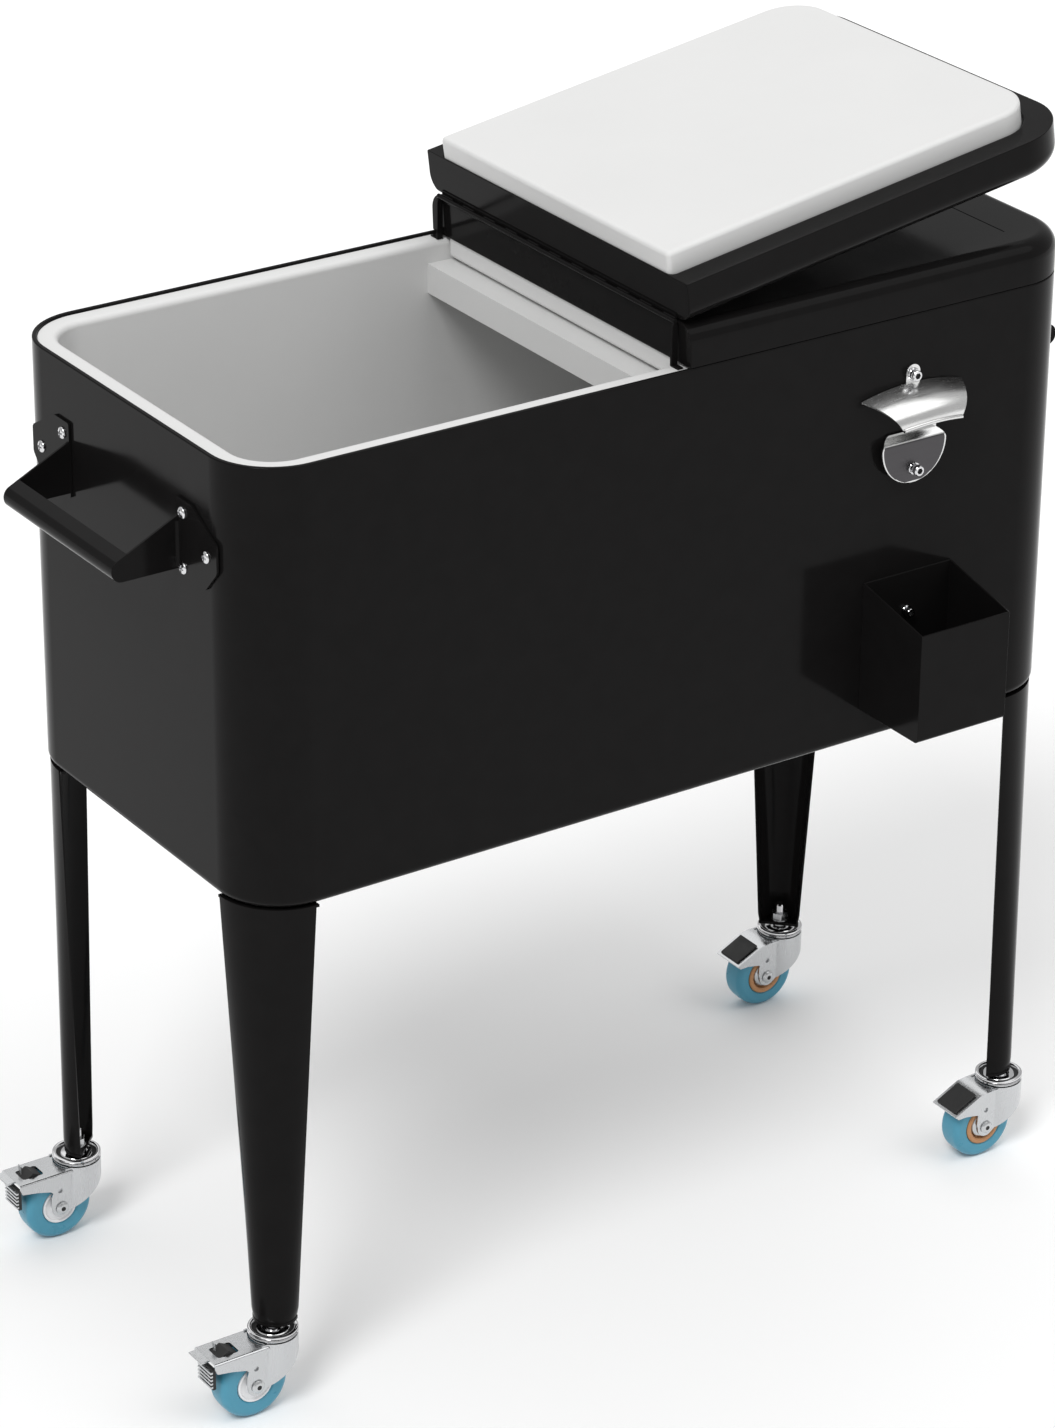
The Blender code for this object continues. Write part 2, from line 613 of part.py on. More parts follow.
def build_catcher():
    sheet = 1.5 * MM
    x0, x1 = CATCHER_X - CATCHER_HALF, CATCHER_X + CATCHER_HALF
    y0 = BACK_Y - CATCHER_DEPTH
    side = [(y0, CATCHER_LOW), (BACK_Y, CATCHER_LOW), (BACK_Y, CATCHER_BACK), (y0, CATCHER_FRONT)]
    box = prism(side, x0, x1, "X")
    inside = block(x0 + sheet, x1 - sheet, y0 + sheet, BACK_Y - sheet, CATCHER_LOW + sheet, RIM_Z)
    hole = moved(rod(SCREW_RADIUS + GAP, -9 * MM, 9 * MM, 10, "Y"), (CATCHER_X, BACK_Y, CATCHER_SCREW_Z))
    node("cap_catcher", boolean(box, [inside, hole], "DIFFERENCE"), "black_paint")
    front_screw("catcher_screw", CATCHER_X, CATCHER_SCREW_Z, BACK_Y - sheet - GAP, 4.6 * MM, "chrome")


# ---- casters, built round the stem's axis with the wheel trailing towards -X ----

RACE_RADIUS = 21.2 * MM
FORK_TOP = 68.2 * MM
FORK_INNER = 13.6 * MM
FORK_SHEET = 1.6 * MM
AXLE = (-CASTER_TRAIL, WHEEL_RADIUS)  # x, z
PEDAL_PIVOT = (-26 * MM, 50 * MM)
PEDAL_SHEET = 1.4 * MM
CHEEK_Y = FORK_INNER + FORK_SHEET + 0.4 * MM
AXLE_RADIUS = 3 * MM
PIVOT_RADIUS = 2 * MM
HUB_RADIUS = 16.5 * MM


def stem_mesh():
    """The fixed half: threaded stem, nut on the leg's plate, and the upper race with its chrome rim."""
    profile = [(0, 66), (5, 66), (5, 68.6), (21.2, 68.6), (21.2, 74.5), (18, 74.5), (17, 71.5), (8, 71.5),
               (8, 77), (4.8, 77), (4.8, 96), (0, 96)]
    body = lathe([(r * MM, h * MM) for r, h in profile], 16)
    above = LEG_FOOT_Z + 3 * MM + GAP
    return boolean(body, [prism(hexagon(14 * MM), above, above + 7 * MM)])


def fork_mesh():
    x, z = AXLE
    boss = arc_points(x, z, 8.5 * MM, 160, 310, 4)
    cheek = [(-15 * MM, 66 * MM), *[(-19 * MM, 58 * MM), (-31 * MM, 52 * MM), (-33 * MM, 42 * MM)], *boss,
             (-8 * MM, 32 * MM), (13 * MM, 46 * MM), (19 * MM, 56 * MM), (19 * MM, 66 * MM)]
    outer = FORK_INNER + FORK_SHEET
    left = prism(cheek, FORK_INNER, outer, "Y")
    stub = rod(PIVOT_RADIUS, outer - MM, outer + 2.4 * MM, 10, "Y")
    stub = moved(stub, (PEDAL_PIVOT[0], 0, PEDAL_PIVOT[1]))
    eye = moved(rod(AXLE_RADIUS + GAP, FORK_INNER - MM, outer + MM, 12, "Y"), (x, 0, z))
    left = boolean(boolean(left, [stub]), [eye], "DIFFERENCE")
    top = tube(20.4 * MM, 5.4 * MM, 64.4 * MM, FORK_TOP, 16)
    return boolean(top, [left, mirrored(left, y=-1)])


def axle_mesh():
    outer = FORK_INNER + FORK_SHEET + GAP
    half = outer + 2.6 * MM
    heads = [(6, -half), (6, -outer), (3, -outer), (3, outer), (6, outer), (6, half)]
    profile = [(r * MM, h) for r, h in heads]
    return lathe([(0, -half), *profile, (0, half)], 12, "Y")


def tyre_mesh():
    half, shoulder = WHEEL_WIDTH / 2, 3 * MM
    profile = [(HUB_RADIUS + GAP, -half), (WHEEL_RADIUS - shoulder, -half), (WHEEL_RADIUS, shoulder - half)]
    return lathe([*profile, *[(r, -h) for r, h in profile[::-1]]], 24, "Y")


def hub_mesh():
    half = WHEEL_WIDTH / 2
    profile = [(AXLE_RADIUS + GAP, -half - 0.8 * MM), (7 * MM, -half - 0.8 * MM), (8.5 * MM, 2 * MM - half),
               (HUB_RADIUS, 2 * MM - half)]
    return lathe([*profile, *[(r, -h) for r, h in profile[::-1]]], 16, "Y")


def pedal_mesh(strip, cheek, half, pad):
    """A foot lever: a bent strip on top, a cheek on each side that turns on the fork's stub, and a pad."""
    top = prism(strip, -half, half, "Y")
    side = prism(cheek, CHEEK_Y, CHEEK_Y + PEDAL_SHEET, "Y")
    eye = rod(PIVOT_RADIUS + GAP, CHEEK_Y - MM, CHEEK_Y + 4 * MM, 12, "Y")
    eye = moved(eye, (PEDAL_PIVOT[0], 0, PEDAL_PIVOT[1]))
    side = boolean(side, [eye], "DIFFERENCE")
    joined = boolean(top, [side, mirrored(side, y=-1), pad])
    return moved(joined, (-PEDAL_PIVOT[0], 0, -PEDAL_PIVOT[1]))


def in_mm(points):
    return [(a * MM, b * MM) for a, b in points]


def long_pedal():
    """The left pair's: a long level arm with a ribbed face at its end."""
    strip = in_mm([(-23, 66.4), (-72, 66.4), (-72, 64.8), (-23, 64.8)])
    cheek = in_mm([(-23, 66), (-66, 66), (-66, 58), (-36, 52), (-30, 45), (-22, 45), (-20.6, 52), (-23, 60)])
    pad = prism(in_mm([(-62, 65.5), (-66, 65.5), (-66, 36), (-62, 36)]), -11 * MM, 11 * MM, "Y")
    return pedal_mesh(strip, cheek, CHEEK_Y + PEDAL_SHEET / 2, pad)


def short_pedal():
    """The right pair's: a sloping plate with a square pad."""
    strip = in_mm([(-23, 67.8), (-33, 66.4), (-59, 53.4), (-58.2, 51.8), (-32.6, 64.8), (-23, 66.2)])
    cheek = [(-23, 67), (-33, 65.6), (-58, 53), (-50, 50.5), (-36, 47), (-30, 44), (-22, 45), (-20.6, 52)]
    cheek = in_mm(cheek)
    pad = prism(in_mm([(-35.3, 66.9), (-57.6, 55.8), (-58, 53.4), (-35, 64.9)]), -13.3 * MM, 13.3 * MM, "Y")
    return pedal_mesh(strip, cheek, CHEEK_Y + PEDAL_SHEET / 2, pad)


def build_casters():
    stem, fork, axle, tyre, hub = stem_mesh(), fork_mesh(), axle_mesh(), tyre_mesh(), hub_mesh()
    pedals = {-1: long_pedal(), 1: short_pedal()}
    hubs = {-1: hub, 1: hub.copy()}
    for name, sign_x, sign_y in CORNERS:
        place = caster_place(sign_x, sign_y)
        node(f"{name}_caster_stem", stem, "chrome", Matrix.Translation(place))
        swivel = pivot(f"{name}_swivel", place)
        node(f"{name}_fork", fork, "zinc", parent=swivel)
        wheel = pivot(f"{name}_wheel", (AXLE[0], 0, AXLE[1]), swivel)
        node(f"{name}_axle", axle, "zinc", Matrix.Translation((AXLE[0], 0, AXLE[1])), swivel)
        node(f"{name}_tyre", tyre, "blue_tyre", parent=wheel)
        node(f"{name}_hub", hubs[sign_x], "white_plastic" if sign_x < 0 else "tan_nylon", parent=wheel)
        brake = pivot(f"{name}_brake", (PEDAL_PIVOT[0], 0, PEDAL_PIVOT[1]), swivel)
        node(f"{name}_brake_pedal", pedals[sign_x], "zinc", parent=brake)


clear_scene()
build_tub()
build_drain()
build_lids()
build_legs()
build_handles()
build_opener()
build_catcher()
build_casters()
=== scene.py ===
"""Rolling patio cooler: its look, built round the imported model.

Metres, +Z up, -Y is the front, and +X runs along the tub.
"""

import json
from math import acos, atan2, cos, pi, radians, sin, sqrt, tan

import bmesh
import bpy
from mathutils import Matrix, Vector


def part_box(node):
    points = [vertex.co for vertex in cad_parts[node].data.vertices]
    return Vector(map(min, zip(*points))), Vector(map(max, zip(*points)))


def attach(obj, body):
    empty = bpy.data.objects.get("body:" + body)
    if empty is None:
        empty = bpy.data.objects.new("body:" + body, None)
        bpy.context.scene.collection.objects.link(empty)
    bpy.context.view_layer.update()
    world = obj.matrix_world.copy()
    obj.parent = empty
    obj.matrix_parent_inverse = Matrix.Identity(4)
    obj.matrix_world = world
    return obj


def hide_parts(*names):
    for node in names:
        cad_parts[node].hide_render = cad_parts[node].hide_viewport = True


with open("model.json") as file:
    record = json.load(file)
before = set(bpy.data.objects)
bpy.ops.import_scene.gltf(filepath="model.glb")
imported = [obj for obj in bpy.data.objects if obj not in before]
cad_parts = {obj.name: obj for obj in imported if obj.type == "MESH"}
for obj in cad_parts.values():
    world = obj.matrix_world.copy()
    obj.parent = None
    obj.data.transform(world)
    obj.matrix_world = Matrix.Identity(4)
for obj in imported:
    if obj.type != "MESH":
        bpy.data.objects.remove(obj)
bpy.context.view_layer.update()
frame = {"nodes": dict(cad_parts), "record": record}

MM = 0.001

# The model's own dimensions
HALF_L, HALF_W = 400 * MM, 187 * MM
RIM_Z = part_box("outer_shell")[1].z
TUB_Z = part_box("outer_shell")[0].z
LID_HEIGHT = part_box("right_lid_shell")[1].z - RIM_Z
CORNER_RADIUS = 57 * MM
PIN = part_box("hinge_pin")
HINGE_Z = (PIN[0].z + PIN[1].z) / 2
LID_OPEN_DEG = 171
CORNER_X, CORNER_Y = HALF_L - CORNER_RADIUS, HALF_W - CORNER_RADIUS
FRONT_Y = -HALF_W - 0.3 * MM  # back of what is screwed to the front wall
CORNERS = (
    ("front_left", -1, -1),
    ("front_right", 1, -1),
    ("rear_left", -1, 1),
    ("rear_right", 1, 1),
)
SIDES = (("left", -1), ("right", 1))


# ---- mesh tools ----


def mesh_of(points, faces):
    """A mesh of these points and faces, its faces turned outwards."""
    shape = bmesh.new()
    verts = [shape.verts.new(p) for p in points]
    for face in faces:
        shape.faces.new([verts[i] for i in face])
    bmesh.ops.recalc_face_normals(shape, faces=shape.faces)
    made = bpy.data.meshes.new("shape")
    shape.to_mesh(made)
    shape.free()
    return made


def arc(x, y, radius, start_deg, end_deg, steps):
    """Points along an arc, both ends included."""
    angles = [radians(start_deg + (end_deg - start_deg) * i / steps) for i in range(steps + 1)]
    return [(x + radius * cos(a), y + radius * sin(a)) for a in angles]


def rounded(points, radii, steps=6, closed=True):
    """A 2-D outline with its corners rounded. radii is one radius, or one for each point."""
    if not isinstance(radii, (list, tuple)):
        radii = [radii] * len(points)
    made = []
    for i, (point, radius) in enumerate(zip(points, radii)):
        if radius == 0 or (not closed and i in (0, len(points) - 1)):
            made.append(tuple(point))
            continue
        corner = Vector(point)
        before, after = Vector(points[i - 1]) - corner, Vector(points[(i + 1) % len(points)]) - corner
        u, v = before.normalized(), after.normalized()
        half = acos(max(-1, min(1, u.dot(v)))) / 2
        reach = min(radius / tan(half), before.length * 0.49, after.length * 0.49)
        radius = reach * tan(half)
        centre = corner + (u + v).normalized() * (radius / sin(half))
        start, end = corner + u * reach - centre, corner + v * reach - centre
        first = atan2(start.y, start.x)
        sweep = (atan2(end.y, end.x) - first + pi) % (2 * pi) - pi
        turns = [first + sweep * k / steps for k in range(steps + 1)]
        made += [(centre.x + radius * cos(a), centre.y + radius * sin(a)) for a in turns]
    return made


def stacked(loops):
    """A skin through loops of points, closed on the first and the last."""
    count = len(loops[0])
    points = [p for loop in loops for p in loop]
    faces = []
    for row in range(len(loops) - 1):
        for i in range(count):
            a, b = row * count + i, row * count + (i + 1) % count
            faces.append((a, b, b + count, a + count))
    faces += [tuple(range(count)), tuple(len(points) - count + i for i in range(count))]
    return mesh_of(points, faces)


AXES = {
    "Z": lambda a, b, h: (a, b, h),
    "Y": lambda a, b, h: (a, h, b),
    "X": lambda a, b, h: (h, a, b),
}


def prism(outline, low, high, axis="Z"):
    """An outline pushed along an axis: (x, y) along Z, (x, z) along Y, (y, z) along X."""
    return stacked([[AXES[axis](a, b, h) for a, b in outline] for h in (low, high)])


def lathe(profile, steps, axis="Z"):
    """A ring turned from a closed (radius, height) profile, or a solid if it starts and ends at radius 0."""
    turns = [(cos(2 * pi * i / steps), sin(2 * pi * i / steps)) for i in range(steps)]
    solid = profile[0][0] == 0 and profile[-1][0] == 0
    rings = profile[1:-1] if solid else [*profile, profile[0]]
    loops = [[AXES[axis](r * c, r * s, h) for c, s in turns] for r, h in rings]
    if solid:
        return stacked(loops)
    rows = len(loops) - 1
    points = [p for loop in loops[:-1] for p in loop]
    faces = []
    for row in range(rows):
        after = (row + 1) % rows
        for i in range(steps):
            j = (i + 1) % steps
            faces.append((row * steps + i, row * steps + j, after * steps + j, after * steps + i))
    return mesh_of(points, faces)


def rod(radius, low, high, steps, axis="Z"):
    """A plain solid round bar."""
    return lathe([(0, low), (radius, low), (radius, high), (0, high)], steps, axis)


def hexagon(corner):
    """A hexagon's points, its corners at this radius."""
    return [(corner * cos(pi / 3 * i), corner * sin(pi / 3 * i)) for i in range(6)]


def both_ends(profile):
    """A closed lathe profile that is the same on both sides of its middle."""
    return profile + [(r, -h) for r, h in profile[::-1]]


def sheet_grid(rows, thickness):
    """A curved sheet through rows of points, thickened backwards along its own normals."""
    shape = bmesh.new()
    count = len(rows[0])
    verts = [shape.verts.new(p) for row in rows for p in row]
    for r in range(len(rows) - 1):
        for c in range(count - 1):
            a = r * count + c
            shape.faces.new([verts[a], verts[a + 1], verts[a + count + 1], verts[a + count]])
    shape.normal_update()
    inner = [shape.verts.new(v.co - v.normal * thickness) for v in verts]
    for r in range(len(rows) - 1):
        for c in range(count - 1):
            a = r * count + c
            shape.faces.new([inner[a], inner[a + count], inner[a + count + 1], inner[a + 1]])
    top = list(range(count))
    right = [r * count + count - 1 for r in range(len(rows))]
    low = [(len(rows) - 1) * count + c for c in range(count)]
    left = [r * count for r in range(len(rows))]
    for line in (top, right, low, left):
        for a, b in zip(line, line[1:]):
            shape.faces.new([verts[a], verts[b], inner[b], inner[a]])
    bmesh.ops.recalc_face_normals(shape, faces=shape.faces)
    made = bpy.data.meshes.new("sheet")
    shape.to_mesh(made)
    shape.free()
    return made


def placed(mesh, matrix):
    """A copy of the mesh moved by a matrix, which may mirror it."""
    copy = mesh.copy()
    copy.transform(matrix)
    if matrix.determinant() < 0:
        copy.flip_normals()
    return copy


def moved(mesh, *offset):
    return placed(mesh, Matrix.Translation(offset))


def mirrored(mesh, x=1, y=1):
    return placed(mesh, Matrix.Diagonal((x, y, 1, 1)))


def boolean(base, others, operation="UNION"):
    """The mesh of base joined with, cut by, or kept inside the other meshes, one after the other."""
    result = base
    for other in others:
        body = bpy.data.objects.new("body", result)
        tool = bpy.data.objects.new("tool", other)
        for obj in (body, tool):
            bpy.context.scene.collection.objects.link(obj)
        step = body.modifiers.new(operation.title(), "BOOLEAN")
        step.operation = operation
        step.solver = "EXACT"
        step.object = tool
        graph = bpy.context.evaluated_depsgraph_get()
        result = bpy.data.meshes.new_from_object(body.evaluated_get(graph))
        bpy.data.objects.remove(body)
        bpy.data.objects.remove(tool)
    return result


def piece(name, mesh, body, finishes, replaces=(), bevel=0.0, sharp_deg=35):
    """A shown piece that rides on a body.

    A bevelled piece is smooth all over, and any other is sharp where its faces meet at more than sharp_deg.
    """
    obj = bpy.data.objects.new(name, mesh)
    bpy.context.scene.collection.objects.link(obj)
    mesh.materials.clear()
    for finish in finishes:
        mesh.materials.append(finish)
    mesh.shade_smooth()
    if bevel:
        edge = obj.modifiers.new("Edges", "BEVEL")
        edge.width = bevel
        edge.segments = 2
        edge.limit_method = "ANGLE"
        edge.angle_limit = radians(30)
    else:
        mesh.set_sharp_from_angle(angle=radians(sharp_deg))
    flat = obj.modifiers.new("Normals", "WEIGHTED_NORMAL")
    flat.keep_sharp = not bevel
    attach(obj, body)
    if replaces:
        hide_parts(*replaces)


# ---- finishes ----


class Finish:
    """A Principled material with small helpers to wire procedural detail into it."""

    def __init__(self, name, colour, roughness, metallic=0.0, specular=0.5):
        self.material = bpy.data.materials.new(name)
        self.material.use_nodes = True
        self.tree = self.material.node_tree
        self.shader = self.tree.nodes["Principled BSDF"]
        self.set("Base Color", (*colour, 1))
        self.set("Roughness", roughness)
        self.set("Metallic", metallic)
        self.set("Specular IOR Level", specular)
        self.material.diffuse_color = (*colour, 1)
        self.coords = self.tree.nodes.new("ShaderNodeTexCoord").outputs["Object"]

    def set(self, socket, value):
        self.shader.inputs[socket].default_value = value

    def noise(self, scale, detail, stretch=(1, 1, 1)):
        mapping = self.tree.nodes.new("ShaderNodeMapping")
        mapping.inputs["Scale"].default_value = stretch
        self.tree.links.new(self.coords, mapping.inputs["Vector"])
        node = self.tree.nodes.new("ShaderNodeTexNoise")
        node.inputs["Scale"].default_value = scale
        node.inputs["Detail"].default_value = detail
        node.inputs["Roughness"].default_value = 0.5
        self.tree.links.new(mapping.outputs["Vector"], node.inputs["Vector"])
        return node.outputs["Fac"]

    def range(self, source, low, high):
        """The middle of a noise's spread, stretched to run from low to high."""
        node = self.tree.nodes.new("ShaderNodeMapRange")
        limits = {"From Min": 0.3, "From Max": 0.7, "To Min": low, "To Max": high}
        for socket, value in limits.items():
            node.inputs[socket].default_value = value
        self.tree.links.new(source, node.inputs["Value"])
        return node.outputs["Result"]

    def mix(self, factor, first, second):
        node = self.tree.nodes.new("ShaderNodeMix")
        node.data_type = "RGBA"
        node.inputs["A"].default_value = (*first, 1)
        node.inputs["B"].default_value = (*second, 1)
        self.tree.links.new(factor, node.inputs["Factor"])
        return node.outputs["Result"]

    def vary(self, socket, source):
        self.tree.links.new(source, self.shader.inputs[socket])

    def bump(self, height, strength, distance):
        node = self.tree.nodes.new("ShaderNodeBump")
        node.inputs["Strength"].default_value = strength
        node.inputs["Distance"].default_value = distance
        self.tree.links.new(height, node.inputs["Height"])
        self.tree.links.new(node.outputs["Normal"], self.shader.inputs["Normal"])


def powder_coat():
    """Gloss black powder coat: a slight orange peel, and a tone that drifts a little."""
    deep, pale = (0.006, 0.0057, 0.0057), (0.0085, 0.008, 0.008)
    made = Finish("black_powder_coat", (0.006, 0.0058, 0.0058), 0.14)
    made.set("IOR", 1.14)
    made.vary("Base Color", made.mix(made.noise(55, 4), deep, pale))
    made.vary("Roughness", made.range(made.noise(24, 4), 0.1, 0.16))
    made.bump(made.noise(620, 3), 0.06, 0.0001)
    return made.material


def moulded_white():
    """Satin white moulding with a fine mould texture."""
    dull, clean = (0.66, 0.66, 0.655), (0.70, 0.70, 0.695)
    made = Finish("moulded_white", (0.68, 0.68, 0.675), 0.42, specular=0.35)
    made.vary("Base Color", made.mix(made.noise(7, 4), dull, clean))
    made.vary("Roughness", made.range(made.noise(30, 3), 0.36, 0.5))
    made.bump(made.noise(900, 2), 0.1, 0.0001)
    return made.material


def zinc_plate():
    """Bright zinc plate on pressed steel: faintly cloudy, with an upright rolling grain."""
    dull, bright = (0.57, 0.58, 0.59), (0.61, 0.62, 0.63)
    made = Finish("zinc_plate", (0.60, 0.61, 0.62), 0.3, 1.0)
    made.vary("Base Color", made.mix(made.noise(40, 2), dull, bright))
    made.vary("Roughness", made.range(made.noise(300, 2, (1, 1, 0.1)), 0.24, 0.29))
    made.bump(made.noise(500, 2, (1, 1, 0.08)), 0.015, 0.0001)
    return made.material


def chrome():
    """Polished chrome with a faint haze."""
    made = Finish("polished_chrome", (0.66, 0.66, 0.67), 0.07, 1.0)
    made.vary("Roughness", made.range(made.noise(180, 4), 0.05, 0.1))
    made.bump(made.noise(300, 2), 0.03, 0.0001)
    return made.material


def brushed_stainless(name, colour, roughness):
    """Stainless steel brushed along its width."""
    made = Finish(name, colour, roughness, 1.0)
    dark = tuple(c * 0.9 for c in colour)
    made.vary("Base Color", made.mix(made.noise(900, 3, (0.06, 1, 1)), dark, colour))
    made.vary("Roughness", made.range(made.noise(700, 3, (0.06, 1, 1)), roughness - 0.04, roughness + 0.06))
    made.bump(made.noise(1200, 2, (0.05, 1, 1)), 0.04, 0.00005)
    return made.material


def tyre_blue():
    """Smooth polyurethane, a little darker where it is scuffed."""
    scuffed, clean = (0.055, 0.25, 0.36), (0.075, 0.31, 0.43)
    made = Finish("polyurethane_blue", (0.065, 0.285, 0.40), 0.32, specular=0.45)
    made.vary("Base Color", made.mix(made.noise(45, 4), scuffed, clean))
    made.vary("Roughness", made.range(made.noise(90, 4), 0.26, 0.42))
    made.bump(made.noise(500, 3), 0.1, 0.0001)
    return made.material


def plastic(name, first, second, roughness, grain=500):
    """A moulded finish between two tones, with its grain's scale."""
    made = Finish(name, first, roughness, specular=0.4)
    made.vary("Base Color", made.mix(made.noise(60, 4), first, second))
    made.vary("Roughness", made.range(made.noise(110, 3), roughness - 0.06, roughness + 0.08))
    made.bump(made.noise(grain, 3), 0.15, 0.0001)
    return made.material


BLACK = powder_coat()
WHITE = moulded_white()
ZINC = zinc_plate()
CHROME = chrome()
STAINLESS = brushed_stainless("brushed_stainless", (0.74, 0.74, 0.735), 0.22)
DARK_STEEL = brushed_stainless("dark_satin_steel", (0.085, 0.082, 0.086), 0.34)
BLUE = tyre_blue()
TAN = plastic("tan_nylon", (0.43, 0.20, 0.085), (0.50, 0.25, 0.11), 0.45)
HUB_WHITE = plastic("hub_white", (0.78, 0.78, 0.79), (0.84, 0.84, 0.85), 0.38)
RUBBER = plastic("black_rubber", (0.012, 0.012, 0.012), (0.022, 0.022, 0.022), 0.55)
# Painted shade: a near-black finish for dark discs and rings set where holes, grooves and gaps fall into
# shade.
PAINTED_SHADE = plastic("socket_shadow", (0.006, 0.006, 0.006), (0.01, 0.01, 0.01), 0.6)
FOAM = plastic("insulation_foam", (0.62, 0.52, 0.28), (0.72, 0.62, 0.36), 0.85, 120)
SLOT_FINISH = {
    "black_paint": BLACK,
    "white_plastic": WHITE,
    "grey_foam": FOAM,
    "zinc": ZINC,
    "chrome": CHROME,
    "stainless": STAINLESS,
    "blue_tyre": BLUE,
    "tan_nylon": TAN,
    "black_rubber": RUBBER,
}


def finish_cad_nodes():
    """Every CAD node gets its slot's finish, for those that stay shown."""
    for part in frame["record"]["subparts"]:
        obj = frame["nodes"][part["node"]]
        obj.data.materials.clear()
        obj.data.materials.append(SLOT_FINISH[part["material_slot"]])


# ---- tub ----

TUB_FLOOR = 42  # millimetres from the tub's underside to the liner's floor
DRAIN = (-250 * MM, 95 * MM, 0)


def rounded_box(x0, x1, y0, y1, radii, z, steps):
    """A level loop of points, from the corner at (x1, y1) counter-clockwise."""
    corners = ((x1, y1, -1, -1), (x0, y1, 1, -1), (x0, y0, 1, 1), (x1, y0, -1, 1))
    points = []
    for quarter, ((x, y, to_x, to_y), radius) in enumerate(zip(corners, radii)):
        start = quarter * 90
        bend = arc(x + to_x * radius, y + to_y * radius, radius, start, start + 90, steps)
        points += [(px, py, z) for px, py in bend]
    return points


def tub_loop(inset, z, steps=18):
    """The tub's outline at a height, drawn in by an inset."""
    radius = CORNER_RADIUS - inset
    x, y = HALF_L - inset, HALF_W - inset
    return rounded_box(-x, x, -y, y, [radius] * 4, z, steps)


def tub_skin(profile, radii, steps=8):
    """A closed skin of the tub's outlines along an open profile of (inset, z)."""
    return stacked([tub_loop(inset, z) for inset, z in rounded(profile, radii, steps, closed=False)])


def mm_points(points):
    """2-D points in millimetres, as metres."""
    return [(a * MM, b * MM) for a, b in points]


def build_tub():
    rim, low = RIM_Z / MM, TUB_Z / MM
    sheet = 1.2
    # The profile starts and ends under the floor, where a flat face closes the skin.
    outside = [(40, low), (0, low), (0, rim), (4, rim), (4, rim - 7), (sheet, rim - 8)]
    outside += [(sheet, low + sheet), (40, low + sheet)]
    radii = [0, 9 * MM, 1.4 * MM, 1.1 * MM, 0, 0, 7.8 * MM, 0]
    shell = tub_skin(mm_points(outside), radii)
    piece("tub_shell", shell, "cooler", [BLACK], ["outer_shell"])

    floor = low + TUB_FLOOR
    inner = [(26, floor - 2.5), (18.5, floor + 6), (18.5, rim - 5), (4.3, rim - 5)]
    inner += [(4.3, rim - 2), (21, rim - 2), (25, floor), (50, floor)]
    radii = [0, 5 * MM, 0, 0, 0.8 * MM, 5 * MM, 17 * MM, 0]
    liner = tub_skin(mm_points(inner), radii)
    piece("tub_liner", liner, "cooler", [WHITE], ["inner_liner"])

    ring = [(5, 0.1), (14, 0.1), (14.5, 0.8), (13, 1.5), (6, 1.1)]
    inlet = lathe(mm_points([(r, floor + h) for r, h in ring]), 40)
    piece("drain_inlet", moved(inlet, *DRAIN), "cooler", [WHITE])
    # Painted shade: a dark disc in the drain's mouth, standing for the shade down its hole.
    bore = rod(5 * MM, (floor + 0.1) * MM, (floor + 0.4) * MM, 24)
    piece("drain_hole_shade", moved(bore, *DRAIN), "cooler", [PAINTED_SHADE])


# ---- lids ----

LID_FILLET, LID_TOP_EDGE, LID_SHEET = 15 * MM, 1.8 * MM, 1.2 * MM
LINE_X, LINE_WIDTH, LINE_HALF = 344.2 * MM, 1.2 * MM, 150 * MM  # the shallow pressed line near a lid's end
INSERT_WALL, INSERT_DROP, INSERT_RADIUS = 6.2 * MM, 17.5 * MM, 36 * MM
INSERT_FRONT, INSERT_BACK, INSERT_END = 26 * MM, 22 * MM, 23.5 * MM  # margins round the insert


def hinge_wall(z):
    """How far a lid's wall stands from the hinge's plane, at this height over the rim."""
    return 4.5 * MM - 1.2 * MM * z / LID_HEIGHT


def lid_loop(z, inset, wall, hinge_radius, steps=18):
    """The lid's outline at a height, drawn in by an inset and starting at its hinge wall."""
    outer = CORNER_RADIUS - inset
    side = HALF_W - inset
    radii = [outer, hinge_radius, hinge_radius, outer]
    return rounded_box(wall, HALF_L - inset, -side, side, radii, z, steps)


def insert_loop(z, grow, steps=18):
    """The insert's outline, which can grow only a little towards the hinge wall."""
    outer, inner = INSERT_RADIUS + grow, max(4 * MM + grow, 0.5 * MM)
    low, high = INSERT_FRONT - HALF_W - grow, HALF_W - INSERT_BACK + grow
    wall = INSERT_WALL - min(grow, 0.7 * MM)
    end = HALF_L - INSERT_END + grow
    return rounded_box(wall, end, low, high, [outer, inner, inner, outer], z, steps)


